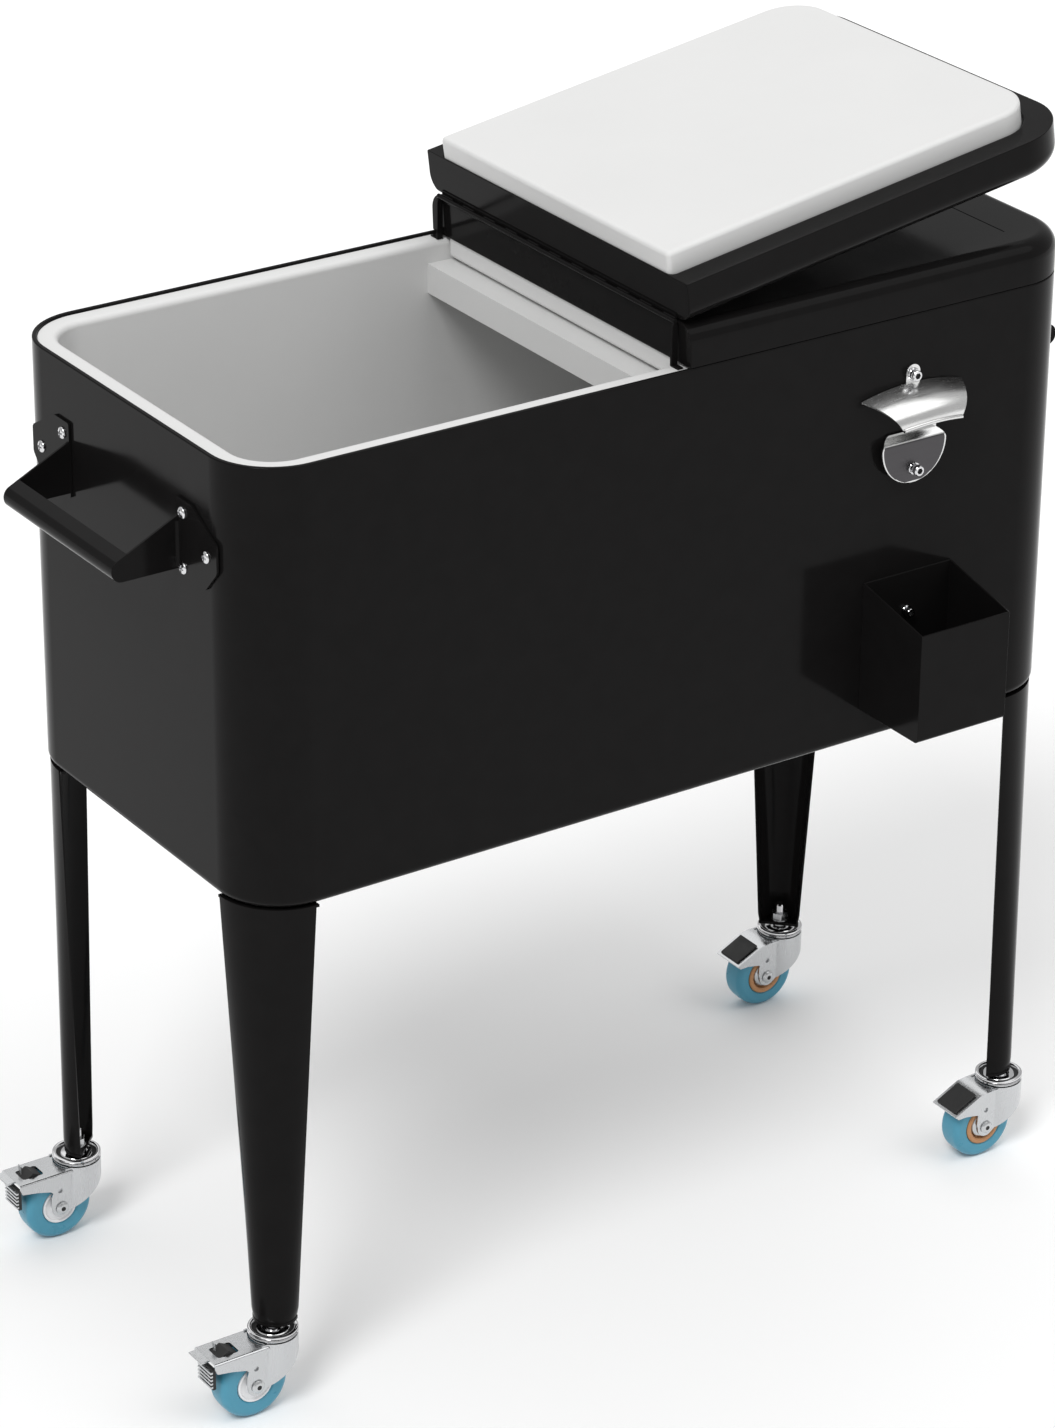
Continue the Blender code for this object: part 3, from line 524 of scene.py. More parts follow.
def lid_shell():
    """The right lid's shell at rest, from its inner top down to the rim and up the outside."""
    loops = []
    wall = hinge_wall(0)
    for below_top, inset in ((1.4, 15), (5, 6), (14, 1.2)):
        loops.append(lid_loop(LID_HEIGHT - below_top * MM, inset * MM, wall + LID_SHEET, 1.5 * MM))
    loops.append(lid_loop(5.5 * MM, LID_SHEET, wall + LID_SHEET, 1.5 * MM))
    # The margin: a groove round the insert, an edge beside it, and the flat that stands on the tub's rim.
    for z, grow in ((5.0, 0.3), (3.0, 0.3), (2.8, 1.5), (1.7, 1.7), (1.0, 2.1), (0.5, 2.8), (0.3, 3.7)):
        loops.append(insert_loop(z * MM, grow * MM))
    for z, inset in ((0.3, 1.2), (0.55, 0.45), (1.2, 0.0)):
        loops.append(lid_loop(z * MM, inset * MM, wall + inset * 0.3 * MM, 1.0 * MM))
    straight = LID_HEIGHT - LID_FILLET
    steps = 12
    for i in range(steps + 1):
        angle = pi / 2 * i / steps
        z = straight + LID_FILLET * sin(angle)
        roll = max(0.0, (z - LID_HEIGHT + LID_TOP_EDGE) / LID_TOP_EDGE)
        turn = LID_TOP_EDGE * (1 - sqrt(max(0.0, 1 - roll * roll)))
        inset = LID_FILLET * (1 - cos(angle))
        loops.append(lid_loop(z, inset, hinge_wall(z) + turn, 1.0 * MM + turn))
    shell = stacked(loops)
    x0, x1 = LINE_X, LINE_X + LINE_WIDTH
    line = rounded([(x0, -LINE_HALF), (x1, -LINE_HALF), (x1, LINE_HALF), (x0, LINE_HALF)], 0.55 * MM, 4)
    return boolean(shell, [prism(line, LID_HEIGHT - 0.6 * MM, LID_HEIGHT + MM)], "DIFFERENCE")


def lid_insert():
    """The right lid's white insert at rest, with its lower edge rounded over."""
    loops = []
    edge = ((0.0, -4.0), (0.1, -2.9), (0.6, -1.7), (1.5, -0.7), (2.8, -0.15), (4.0, 0.0), (20.0, 0.0))
    for z, grow in edge:
        loops.append(insert_loop(z * MM - INSERT_DROP, grow * MM))
    loops.append(insert_loop(LID_HEIGHT - 1.8 * MM, 0))
    return stacked(loops)


def lid_place(sign):
    """Where a lid that was drawn closed on the right stands at rest."""
    if sign > 0:
        return Matrix.Translation((0, 0, RIM_Z))
    hinge = Matrix.Translation((0, 0, HINGE_Z))
    turned = hinge @ Matrix.Rotation(radians(LID_OPEN_DEG), 4, "Y")
    return turned @ Matrix.Translation((0, 0, RIM_Z - HINGE_Z)) @ Matrix.Diagonal((-1, 1, 1, 1))


def build_lids():
    shell, insert = lid_shell(), lid_insert()
    for side, sign in SIDES:
        lid, place = f"{side}_lid", lid_place(sign)
        piece(lid, placed(shell, place), lid, [BLACK], [f"{lid}_shell"])
        piece(f"{lid}_cushion", placed(insert, place), lid, [WHITE], [f"{lid}_insert"])


# ---- hinge ----

KNUCKLES, KNUCKLE_RADIUS, HINGE_HALF = 21, 2.0 * MM, 168 * MM
PIN_RADIUS = 1.1 * MM


def hinge_strip(parity):
    """The right lid's half of a piano hinge, in the lid's own place: a narrow leaf and its knuckles."""
    top = HINGE_Z - RIM_Z
    leaf = prism([(2.2 * MM, top - 5 * MM), (4.2 * MM, top - 5 * MM), (4.2 * MM, top - 1.0 * MM),
                  (2.2 * MM, top - 0.4 * MM)], -HINGE_HALF, HINGE_HALF, "Y")
    step = 2 * HINGE_HALF / KNUCKLES
    knuckles = []
    for i in range(parity, KNUCKLES, 2):
        low = i * step - HINGE_HALF + 0.15 * MM
        high = low + step - 0.3 * MM
        barrel = rod(KNUCKLE_RADIUS, low, high, 16, "Y")
        arm = prism([(0.2 * MM, top + 0.9 * MM), (0.2 * MM, top - 0.9 * MM), (2.6 * MM, top - 1.8 * MM),
                     (2.6 * MM, top - 0.6 * MM)], low, high, "Y")
        knuckles += [moved(barrel, 0, 0, top), arm]
    return boolean(leaf, knuckles)


def hinge_post():
    """The rear post: it fills the slot between the lids' walls and ends in an eye for the pin."""
    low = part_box("rear_hinge_bracket")[0].z
    shoulder, neck = HINGE_Z - 4 * MM, HINGE_Z - 1.5 * MM
    y0, y1 = HINGE_HALF + 0.3 * MM, HINGE_HALF + 2.8 * MM
    wide, slim = 2.7 * MM, PIN_RADIUS
    side = [(wide, low), (wide, shoulder), (slim, neck), (slim, HINGE_Z)]
    post = prism([(-wide, low), *side, *[(-x, z) for x, z in side[:0:-1]]], y0, y1, "Y")
    eye = rod(KNUCKLE_RADIUS, y0, y1, 20, "Y")
    x, top = 2.6 * MM, low + 1.2 * MM
    foot = prism([(-x, low), (x, low), (x, top), (-x, top)], y0, y1 + 8 * MM, "Y")
    return boolean(post, [moved(eye, 0, 0, HINGE_Z), foot])


def build_hinge():
    for (side, sign), parity in zip(SIDES, (0, 1)):
        leaf = placed(hinge_strip(parity), lid_place(sign))
        piece(f"{side}_hinge_strip", leaf, f"{side}_lid", [BLACK], [f"{side}_hinge_leaf"])
    half = HINGE_HALF + 4 * MM
    pin = moved(rod(PIN_RADIUS, -half, half, 16, "Y"), 0, 0, HINGE_Z)
    piece("hinge_rod", pin, "cooler", [BLACK], ["hinge_pin"])
    post = hinge_post()
    for end, sign in (("front", -1), ("rear", 1)):
        piece(f"{end}_hinge_post", mirrored(post, y=sign), "cooler", [BLACK],
              [f"{end}_hinge_bracket"])


# ---- legs ----

LEG_TOP_RADIUS = 55.5 * MM
LEG_TOP_Z, LEG_FOOT_Z = TUB_Z - 0.3 * MM, 77.3 * MM
LEG_SHEET = 1.6 * MM
FOOT_WIDTH, FOOT_DEPTH = 38 * MM, 20 * MM
NECK_SHARE = 0.972  # where a leg starts to draw in, just over its foot


def leg_outline(share, steps=28):
    """A leg's cross-section: an arc of sheet across the corner's diagonal.

    share runs from 0 at the tub to 1 at the foot.
    """
    top_width, top_depth = LEG_TOP_RADIUS * sqrt(2), LEG_TOP_RADIUS * (1 - cos(pi / 4))
    neck = max(0.0, (share - NECK_SHARE) / (1 - NECK_SHARE))
    width = top_width + (FOOT_WIDTH - top_width) * share - 3 * MM * neck
    depth = top_depth + (FOOT_DEPTH - top_depth) * share - 1.2 * MM * neck
    radius = (width * width / 4 + depth * depth) / (2 * depth)
    half = 2 * atan2(depth, width / 2)
    distance = LEG_TOP_RADIUS + 2.5 * MM * sqrt(2) * share - 1.2 * MM * neck - radius
    centre = (CORNER_X + distance * cos(pi / 4), CORNER_Y + distance * sin(pi / 4))
    angles = [pi / 4 - half + 2 * half * i / steps for i in range(steps + 1)]
    points = []
    for r, turns in ((radius, angles), (radius - LEG_SHEET, angles[::-1])):
        points += [(centre[0] + r * cos(a), centre[1] + r * sin(a)) for a in turns]
    return points


def leg_mesh():
    """The rear right leg: a channel that narrows to its foot, with its flange and foot plate."""
    shares = [i / 12 for i in range(12)] + [0.95, 0.97, 0.98, 0.99, 1.0]
    height = LEG_FOOT_Z - LEG_TOP_Z
    loops = [[(x, y, LEG_TOP_Z + height * s) for x, y in leg_outline(s)] for s in shares]
    channel = stacked(loops)
    reach = LEG_TOP_RADIUS - 0.8 * MM
    flange = arc(CORNER_X, CORNER_Y, reach, 0, 90, 18)
    flange += [(CORNER_X - 3 * MM, CORNER_Y + reach), (CORNER_X - 3 * MM, CORNER_Y - 3 * MM),
               (CORNER_X + reach, CORNER_Y - 3 * MM)]
    top = prism(flange, LEG_TOP_Z - 2.5 * MM, LEG_TOP_Z - 0.4 * MM)
    foot = leg_outline(0.985)
    plate = prism(foot[: len(foot) // 2], LEG_FOOT_Z + 0.4 * MM, LEG_FOOT_Z + 3 * MM)
    stem = caster_place(1, 1)
    bore = moved(rod(5.4 * MM, 60 * MM, 100 * MM, 20), *stem)
    bolt = moved(rod(4.4 * MM, 430 * MM, 470 * MM, 16), CORNER_X + 6 * MM, CORNER_Y + 6 * MM, 0)
    return boolean(boolean(channel, [top, plate]), [bore, bolt], "DIFFERENCE")


def caster_place(sign_x, sign_y):
    """Where a caster's swivel axis meets the floor."""
    low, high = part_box("rear_right_caster_stem")
    centre = (low + high) / 2
    return Vector((sign_x * centre.x, sign_y * centre.y, 0))


def build_legs():
    leg = leg_mesh()
    for name, sign_x, sign_y in CORNERS:
        piece(f"{name}_leg_channel", mirrored(leg, sign_x, sign_y), "cooler", [BLACK],
              [f"{name}_leg"])


# ---- handles ----

NOSE_X, NOSE_RADIUS = -460.9 * MM, 9.5 * MM
HANDLE_HALF = 86.5 * MM
HANDLE_SHEET = 2 * MM
HANDLE_TOP, HANDLE_LOW = RIM_Z - 64 * MM, RIM_Z - 109 * MM
WALL_X = -HALF_L - 0.3 * MM
# (y, height from the rim) in millimetres, for the front flange of a handle and what holds it
FLANGE = ((-84, -49), (-107, -49), (-144, -70), (-144, -93), (-126, -113), (-84, -113))
BACKING_PLATE = ((-86, -51), (-102, -51), (-131, -69), (-131, -95), (-122, -111), (-86, -111))
HANDLE_SCREWS = ((-94, -60), (-94, -106), (-129, -84))


def from_rim(points):
    """Points in millimetres, their heights measured from the rim."""
    return [(a * MM, b * MM + RIM_Z) for a, b in points]


def handle_nose(inset, steps=20):
    """The (x, z) arc round a web's nose, drawn in by an inset, from the top to the underside."""
    centre_x, centre_z = NOSE_X + NOSE_RADIUS, HANDLE_LOW + NOSE_RADIUS
    return arc(centre_x, centre_z, NOSE_RADIUS - inset, 118, 270, steps)


def grip_line(inset):
    """One face of the grip: round the nose, and a little way up and under the webs."""
    slope = (Vector((WALL_X, HANDLE_TOP)) - Vector(handle_nose(0)[0])).normalized()
    nose = handle_nose(inset)
    upper = Vector(nose[0]) + slope * 10 * MM
    return [tuple(upper), *nose, (nose[-1][0] + 9 * MM, nose[-1][1])]


def handle_grip():
    """The strip that wraps over the noses of both webs."""
    half = HANDLE_HALF - 0.2 * MM
    return prism(grip_line(0) + grip_line(HANDLE_SHEET)[::-1], -half, half, "Y")


def handle_plate():
    """The front web with its flange, bent from one sheet."""
    inset = 0.25 * MM
    root = WALL_X - MM
    outline = [(root, HANDLE_TOP - inset * 1.1), *handle_nose(inset), (root, HANDLE_LOW + inset)]
    web = prism(outline, -HANDLE_HALF, HANDLE_SHEET - HANDLE_HALF, "Y")
    flange = rounded(from_rim(FLANGE), [2 * MM, 5 * MM, 5 * MM, 5 * MM, 5 * MM, 2 * MM], 6)
    flange = prism(flange, WALL_X - HANDLE_SHEET, WALL_X, "X")
    bend_radius = 3 * MM
    x, y = WALL_X - HANDLE_SHEET - bend_radius, -HANDLE_HALF - bend_radius
    bend = [(root, -HANDLE_HALF + MM), (root, y), *arc(x, y, bend_radius, 0, 90, 6), (x, -HANDLE_HALF + MM)]
    fillet = prism(bend, HANDLE_LOW + 1.5 * MM, HANDLE_TOP - 5 * MM)
    return boolean(web, [flange, fillet])


def screw_head(radius, height):
    """A domed head with a cross recess, standing on z = 0."""
    dome = arc(0, 0, 1, 8, 80, 6)
    profile = [(0, 0), (radius, 0), (radius, height * 0.2)]
    profile += [(radius * c, height * (0.2 + 0.8 * s)) for c, s in dome]
    profile += [(0, profile[-1][1])]
    long, short = radius * 0.62, radius * 0.17
    corner = [(short, short), (short, long)]
    cross = corner + [(-a, b) for a, b in corner[::-1]] + [(-long, short), (-long, -short)]
    cross += [(-a, -b) for a, b in corner] + [(a, -b) for a, b in corner[::-1]]
    cross += [(long, -short), (long, short)]
    return boolean(lathe(profile, 28), [prism(cross, height * 0.5, height * 2)], "DIFFERENCE")


# The turns that point a screw drawn along +Z out of the left end and out of the front
TO_LEFT, TO_FRONT = Matrix.Rotation(radians(-90), 4, "Y"), Matrix.Rotation(radians(90), 4, "X")


def handle_screws():
    """Three heads outside the flange of the front web, the shanks and the plate inside the tub's sheet."""
    inner = -HALF_L + 1.5 * MM
    plate = prism(from_rim(BACKING_PLATE), inner, inner + 2 * MM, "X")
    head = placed(screw_head(5.0 * MM, 2.7 * MM), TO_LEFT)
    shank = rod(2 * MM, -0.3 * MM, 5 * MM, 12, "X")
    parts = []
    for y, z in from_rim(HANDLE_SCREWS):
        x = WALL_X - HANDLE_SHEET - 0.1 * MM
        parts += [moved(head, x, y, z), moved(shank, x, y, z)]
    return boolean(plate, parts)


def build_handles():
    grip, plate, screws = handle_grip(), handle_plate(), handle_screws()
    for side, sign in SIDES:
        handle = f"{side}_handle"
        piece(f"{handle}_grip", mirrored(grip, x=-sign), "cooler", [BLACK], [handle],
              bevel=0.35 * MM)
        for end, turn in (("front", 1), ("rear", -1)):
            piece(f"{handle}_{end}_plate", mirrored(plate, -sign, turn), "cooler", [BLACK],
                  bevel=0.35 * MM)
            piece(f"{handle}_{end}_screw_set", mirrored(screws, -sign, turn), "cooler", [CHROME],
                  [f"{handle}_{end}_screws"])


# ---- bottle opener and cap catcher ----

OPENER_X, CATCHER_X = 225 * MM, 229 * MM
OPENER_SHEET = 1.8 * MM
# The opener, in millimetres: a drop is measured down from the rim
HOOD_TOP_HALF, HOOD_LIP_HALF = 51, 30
HOOD_REACH, HOOD_BULGE = 29.5, 1.5
DISC_X = OPENER_X - 0.5 * MM
DISC_TOP, DISC_WIDEST, DISC_LOW = 100, 111, 143.5
DISC_HALF = 32.5
DISC_BEND, DISC_STAND = 8.5, 6.0
UPPER_SCREW, LOWER_SCREW, CATCHER_SCREW = 51, 131.5, 263


def opener_hood():
    """The curved hood: arched where it meets the wall, and narrower at its lip."""
    across, down = 28, 14
    rows = []
    for j in range(down + 1):
        v = j / down
        half = (HOOD_TOP_HALF - (HOOD_TOP_HALF - HOOD_LIP_HALF) * v ** 1.1) * MM
        reach = HOOD_REACH * sin(pi / 2 * v) ** 1.15
        drop = 65 + 4 * v + 15.5 * v ** 2.2
        row = []
        for i in range(across + 1):
            u = 2 * i / across - 1
            crown = 1 - u * u
            y = FRONT_Y - (reach + HOOD_BULGE * v * crown + 0.6) * MM
            z = RIM_Z + ((6.5 - 4 * v) * crown - drop) * MM
            row.append((OPENER_X + half * u, y, z))
        rows.append(row)
    return sheet_grid(rows[::-1], OPENER_SHEET)


def opener_lip():
    """The fold along the hood's lower edge."""
    steps = 28
    ring = arc(0, 0, 1.7 * MM, 0, 330, 11)
    loops = []
    for i in range(steps + 1):
        u = 2 * i / steps - 1
        crown = 1 - u * u
        x = OPENER_X + (HOOD_LIP_HALF - 0.4) * MM * u
        y = FRONT_Y - (HOOD_REACH + HOOD_BULGE * crown + 0.8) * MM
        z = RIM_Z + (2.5 * crown - 84.5) * MM
        loops.append([(x, y + a, z + b) for a, b in ring])
    return stacked(loops)


def opener_back():
    """The round-ended tab over the hood, and the strip that joins it to the plate below."""
    y0, y1 = FRONT_Y - OPENER_SHEET, FRONT_Y
    half, top = 7 * MM, RIM_Z - 49.5 * MM
    tab = arc(OPENER_X, top, half, 0, 180, 14)
    tab += [(OPENER_X - half, top - 22 * MM), (OPENER_X + half, top - 22 * MM)]
    corners = ((-6, -64), (26, -64), (26, -104), (-6, -104))
    bridge = [(OPENER_X + a * MM, RIM_Z + b * MM) for a, b in corners]
    return boolean(prism(tab, y0, y1, "Y"), [prism(bridge, y0 + 0.1 * MM, y1, "Y")])


def disc_half(drop):
    """Half the width of the opener's D-shaped plate, in millimetres, at this drop."""
    if drop < DISC_WIDEST:
        return DISC_HALF - 10 * ((DISC_WIDEST - drop) / (DISC_WIDEST - DISC_TOP)) ** 2
    share = (drop - DISC_WIDEST) / (DISC_LOW - DISC_WIDEST + 0.1)
    return DISC_HALF * sqrt(max(0.0, 1 - share * share)) + 0.01


def opener_disc():
    """The D-shaped plate: it stands out from the wall, and its top slopes back to the wall."""
    rows = []
    across, down = 48, 36
    for j in range(down + 1):
        drop = DISC_TOP + (DISC_LOW - DISC_TOP) * j / down
        rise = min(1.0, (drop - DISC_TOP) / DISC_BEND)
        y = FRONT_Y - (1.9 + DISC_STAND * rise * rise * (3 - 2 * rise)) * MM
        half, z = disc_half(drop) * MM, RIM_Z - drop * MM
        rows.append([(DISC_X + half * (2 * i / across - 1), y, z) for i in range(across + 1)])
    return sheet_grid(rows[::-1], OPENER_SHEET)


def front_screw(neck, height, radius):
    """A cap screw with a washer, standing on the front wall and pointing to -Y."""
    washer = [(0, 0), (radius * 1.15, 0), (radius * 1.2, 0.5 * MM), (radius * 1.1, 1.3 * MM)]
    stem = [(radius * 0.62, 1.5 * MM), (radius * 0.62, neck), (radius * 0.9, neck + 0.2 * MM)]
    top = neck + height
    cap = [(radius, neck + 0.9 * MM), (radius, top - 0.9 * MM), (radius * 0.86, top), (0, top)]
    bore = prism(hexagon(radius * 0.6), neck + height * 0.25, neck + height * 2)
    head = boolean(lathe(washer + stem + cap, 32), [bore], "DIFFERENCE")
    return placed(head, TO_FRONT)


def socket_floor(neck, height, radius):
    """A dark disc of painted shade at the bottom of a cap screw's socket, in the same place as the screw."""
    disc = rod(radius * 0.58, neck + height * 0.2, neck + height * 0.55, 6)
    return placed(disc, TO_FRONT)


def cap_screw(name, replaced, place, size):
    """A cap screw and the painted shade in its socket, at a place on the front."""
    screw, dark = moved(front_screw(*size), *place), moved(socket_floor(*size), *place)
    piece(f"{name}_cap_screw", screw, "cooler", [CHROME], [replaced])
    piece(f"{name}_socket", dark, "cooler", [PAINTED_SHADE])


def build_opener():
    piece("opener_hood", opener_hood(), "cooler", [STAINLESS], ["bottle_opener"], sharp_deg=60)
    piece("opener_lip", opener_lip(), "cooler", [STAINLESS])
    piece("opener_back", opener_back(), "cooler", [STAINLESS], bevel=0.3 * MM)
    disc = opener_disc()
    piece("opener_disc", disc, "cooler", [STAINLESS, DARK_STEEL], sharp_deg=60)
    for face in disc.polygons:
        drop = (RIM_Z - face.center.z) / MM
        inside = abs(face.center.x - DISC_X) < (disc_half(drop) - 1.2) * MM
        if face.normal.y < -0.95 and inside and DISC_TOP + 7 < drop < DISC_LOW - 1.1:
            face.material_index = 1
    screws = (("upper", UPPER_SCREW, 1.9, 2.2, 4), ("lower", LOWER_SCREW, 7.9, 3.2, 5))
    for label, drop, stand, neck, height in screws:
        place = (OPENER_X, FRONT_Y - stand * MM, RIM_Z - drop * MM)
        size = (neck * MM, height * MM, 4.6 * MM)
        cap_screw(f"opener_{label}", f"opener_{label}_screw", place, size)


def build_catcher():
    sheet = 1.5 * MM
    low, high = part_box("cap_catcher")
    back_top, front_top = RIM_Z - 227 * MM, RIM_Z - 245 * MM
    screw_z = RIM_Z - CATCHER_SCREW * MM
    front = low.y
    outline = [(front, low.z), (FRONT_Y, low.z), (FRONT_Y, back_top), (front, front_top)]
    box = prism(rounded(outline, [4 * MM, 0, 0, 0], 8), low.x, high.x, "X")
    y0, y1, z0 = front + sheet, FRONT_Y - sheet, low.z + sheet
    inner = rounded([(y0, z0), (y1, z0), (y1, RIM_Z), (y0, RIM_Z)], [3 * MM, 0, 0, 0], 8)
    hole = moved(rod(2.3 * MM, -9 * MM, 9 * MM, 16, "Y"), CATCHER_X, FRONT_Y, screw_z)
    cutters = [prism(inner, low.x + sheet, high.x - sheet, "X"), hole]
    catcher = boolean(box, cutters, "DIFFERENCE")
    piece("catcher_box", catcher, "cooler", [BLACK], ["cap_catcher"], bevel=0.35 * MM)
    place = (CATCHER_X, FRONT_Y - sheet, screw_z)
    cap_screw("catcher", "catcher_screw", place, (2 * MM, 4.5 * MM, 4.3 * MM))


# ---- casters ----

AXLE_X, AXLE_Z = -24 * MM, 31.5 * MM
CHEEK_Y, CUP_RADIUS, FORK_SHEET = 15.2 * MM, 20.8 * MM, 1.6 * MM  # a fork's outer faces and its sheet
TYRE_HALF, TYRE_RADIUS = 12 * MM, 31.5 * MM
LEVER_Y, LEVER_SHEET = 16.9 * MM, 1.4 * MM
LEVER_PIVOT = (-26 * MM, 0, 50 * MM)


def stem_mesh():
    """The two chrome races, the inner ring between them and the stem."""
    lower = [(0, 66), (5, 66), (5, 68.9), (19.2, 68.9), (20.6, 69.4), (21.1, 70.4), (20.6, 71.2)]
    upper = [(19.6, 71.6), (20.4, 72.0), (21.0, 73.0), (20.8, 74.0), (19.8, 74.5), (18.4, 74.4)]
    ring = [(17.4, 73.6), (16.8, 71.6), (14.6, 71.2), (14.1, 72.4), (13.4, 73.0), (9.5, 73.2)]
    stem = [(8.6, 72.2), (6.6, 72.0), (6.6, 76.9), (4.8, 76.9), (4.8, 95), (4.0, 96), (0, 96)]
    return lathe(mm_points(lower + upper + ring + stem), 48)


def stem_nut():
    """The nut over the stem, on a thin washer."""
    nut = prism(hexagon(14 * MM / sqrt(3)), 80.6 * MM, 87.4 * MM)
    return boolean(nut, [rod(8.5 * MM, 79.8 * MM, 80.9 * MM, 28)])


def cup_line(radius, y):
    """The plan of a fork's sheet: a straight cheek, round the cup and back along the other cheek."""
    steps = 40
    end = acos(-sqrt(radius * radius - y * y) / radius)
    angles = [-end + 2 * end * i / steps for i in range(steps + 1)]
    back = -40 * MM
    return [(back, -y), *[(radius * cos(a), radius * sin(a)) for a in angles], (back, y)]


def fork_mesh():
    """A cup under the races that runs down into two flat cheeks, cut to its side profile."""
    plan = cup_line(CUP_RADIUS, CHEEK_Y) + cup_line(CUP_RADIUS - FORK_SHEET, CHEEK_Y - FORK_SHEET)[::-1]
    wall = prism(plan, 18 * MM, 68.2 * MM)
    rear = mm_points([(-19, 68.2), (-20, 58), (-31, 52), (-33.5, 44), (-34.2, 36)])
    nose = arc(AXLE_X, AXLE_Z, 9 * MM, 175, 300, 10)
    front = mm_points([(-10, 31), (12, 46.5), (17.5, 52), (21, 62), (21, 68.2)])
    radii = [0, 4 * MM, 3 * MM, 3 * MM, 3 * MM] + [0] * len(nose) + [5 * MM, 5 * MM, 5 * MM, 4 * MM, 0]
    cut = prism(rounded(rear + nose + front, radii, 4), -30 * MM, 30 * MM, "Y")
    body = boolean(wall, [cut], "INTERSECT")
    top = lathe(mm_points([(5.4, 66.4), (20.3, 66.4), (20.5, 67.2), (20.3, 68.2), (5.4, 68.2)]), 40)
    body = boolean(body, [top])
    eye = moved(rod(3.3 * MM, -30 * MM, 30 * MM, 24, "Y"), AXLE_X, 0, AXLE_Z)
    return boolean(body, [eye], "DIFFERENCE")


def axle_mesh():
    head = mm_points([(0, -18), (2.6, -18), (4.6, -17.4), (5.8, -16.4), (5.8, -15.5), (3, -15.5)])
    return lathe(both_ends(head), 32, "Y")


def tyre_mesh(bore, shoulder):
    """shoulder is the radius between tread and side."""
    side = bore + 1.2 * MM
    tread = TYRE_RADIUS - 0.6 * MM
    half = [(bore, 1.5 * MM - TYRE_HALF), (side, -TYRE_HALF), (tread, -TYRE_HALF)]
    profile = [*half, (TYRE_RADIUS, 0), *[(r, -h) for r, h in half[::-1]]]
    radii = [0, 0.8 * MM, shoulder, 60 * MM, shoulder, 0.8 * MM, 0]
    return lathe(rounded(profile, radii, 8), 72, "Y")


def hub_white_mesh():
    boss = [(3.3, -12.8), (7, -12.8), (8, -12.2), (8.6, -10.6)]
    rim = [(13.6, -10.4), (14.4, -11.6), (16.0, -11.6), (16.5, -10.8)]
    return lathe(both_ends(mm_points(boss + rim)), 48, "Y")


def hub_tan_mesh():
    side = [(9, -8.5), (13.3, -8.5), (13.5, -11.5), (14.4, -12.3), (17.2, -12.3), (18.2, -11.4)]
    return lathe(both_ends(mm_points(side)), 48, "Y")


def bearing_cover_mesh():
    """The domed metal covers either side of a tan hub, on one sleeve."""
    dome = [(3.3, -13.2), (6, -13.1), (9, -12.5), (11.2, -11.2), (12.3, -9.6), (12.3, -8.8), (9.2, -8.8)]
    return lathe(both_ends(mm_points(dome)), 48, "Y")


def lever_clearance():
    """What a lever leaves free: its pivot, and the fork's cup with room to tilt."""
    cup = lathe(mm_points([(0, 40), (21.3, 40), (21.3, 80), (0, 80)]), 48)
    return [moved(rod(2.3 * MM, -30 * MM, 30 * MM, 20, "Y"), *LEVER_PIVOT), cup]


def channel_line(y, z, radius):
    """One face of a channel that is open underneath, as (y, z)."""
    line = [(-y, 44 * MM), (-y, z), (y, z), (y, 44 * MM)]
    return rounded(line, [0, radius, radius, 0], 5, closed=False)


def long_pedal():
    """The left pair's lever: a channel-shaped arm, its end lip, and a slot for a spring clip."""
    outer = channel_line(LEVER_Y, 66.8 * MM, 2.2 * MM)
    inner = channel_line(LEVER_Y - LEVER_SHEET, 66.8 * MM - LEVER_SHEET, 1 * MM)
    channel = prism(outer + inner[::-1], -64 * MM, -12 * MM, "X")
    side = mm_points([(-12, 70), (-12, 63.2), (-15.6, 62.6), (-16.4, 47.5), (-21, 44.5), (-29, 45),
                      (-35, 51.5), (-48, 55), (-62.5, 57.5), (-64, 62), (-64, 70)])
    radii = [0, 0, 1 * MM, 3 * MM, 3 * MM, 3 * MM, 6 * MM, 6 * MM, 2 * MM, 1 * MM, 0]
    body = boolean(channel, [prism(rounded(side, radii, 4), -30 * MM, 30 * MM, "Y")], "INTERSECT")
    lip = rounded(mm_points([(-62, 66.8), (-72, 66.2), (-72, 64.8), (-62, 65.2)]), 0.6 * MM, 3)
    body = boolean(body, [prism(lip, -7 * MM, 13 * MM, "Y")])
    slot = rounded(mm_points([(-57, -9), (-37, -9), (-37, 7.5), (-57, 7.5)]), 2.5 * MM, 5)
    pivot, cup = lever_clearance()
    return boolean(body, [prism(slot, 63 * MM, 70 * MM), pivot, cup], "DIFFERENCE")


def short_pedal():
    """The right pair's lever: a plate that slopes down over the tyre, with side cheeks."""
    line = [(-12, 67.4), (-24, 67.4), (-33, 66.2), (-60, 52.9)]
    under = [(-59.3, 51.5), (-32.6, 64.7), (-24, 65.9), (-12, 65.9)]
    plate = prism(mm_points(line + under), -LEVER_Y, LEVER_Y, "Y")
    cheek = mm_points([(-15.4, 66.4), (-24, 66.6), (-33, 65.4), (-59.4, 52.2), (-57, 49.6), (-48, 49.8),
                       (-36, 47.5), (-30, 44), (-21, 44.5), (-16.4, 47.5)])
    radii = [0, 0, 0, 1.5 * MM, 2 * MM, 4 * MM, 4 * MM, 3 * MM, 3 * MM, 3 * MM]
    side = prism(rounded(cheek, radii, 4), LEVER_Y - LEVER_SHEET, LEVER_Y, "Y")
    body = boolean(plate, [side, mirrored(side, y=-1)])
    return boolean(body, lever_clearance(), "DIFFERENCE")


def slab(points, low, high):
    """A side profile in millimetres, given a width along Y."""
    return prism(mm_points(points), low * MM, high * MM, "Y")


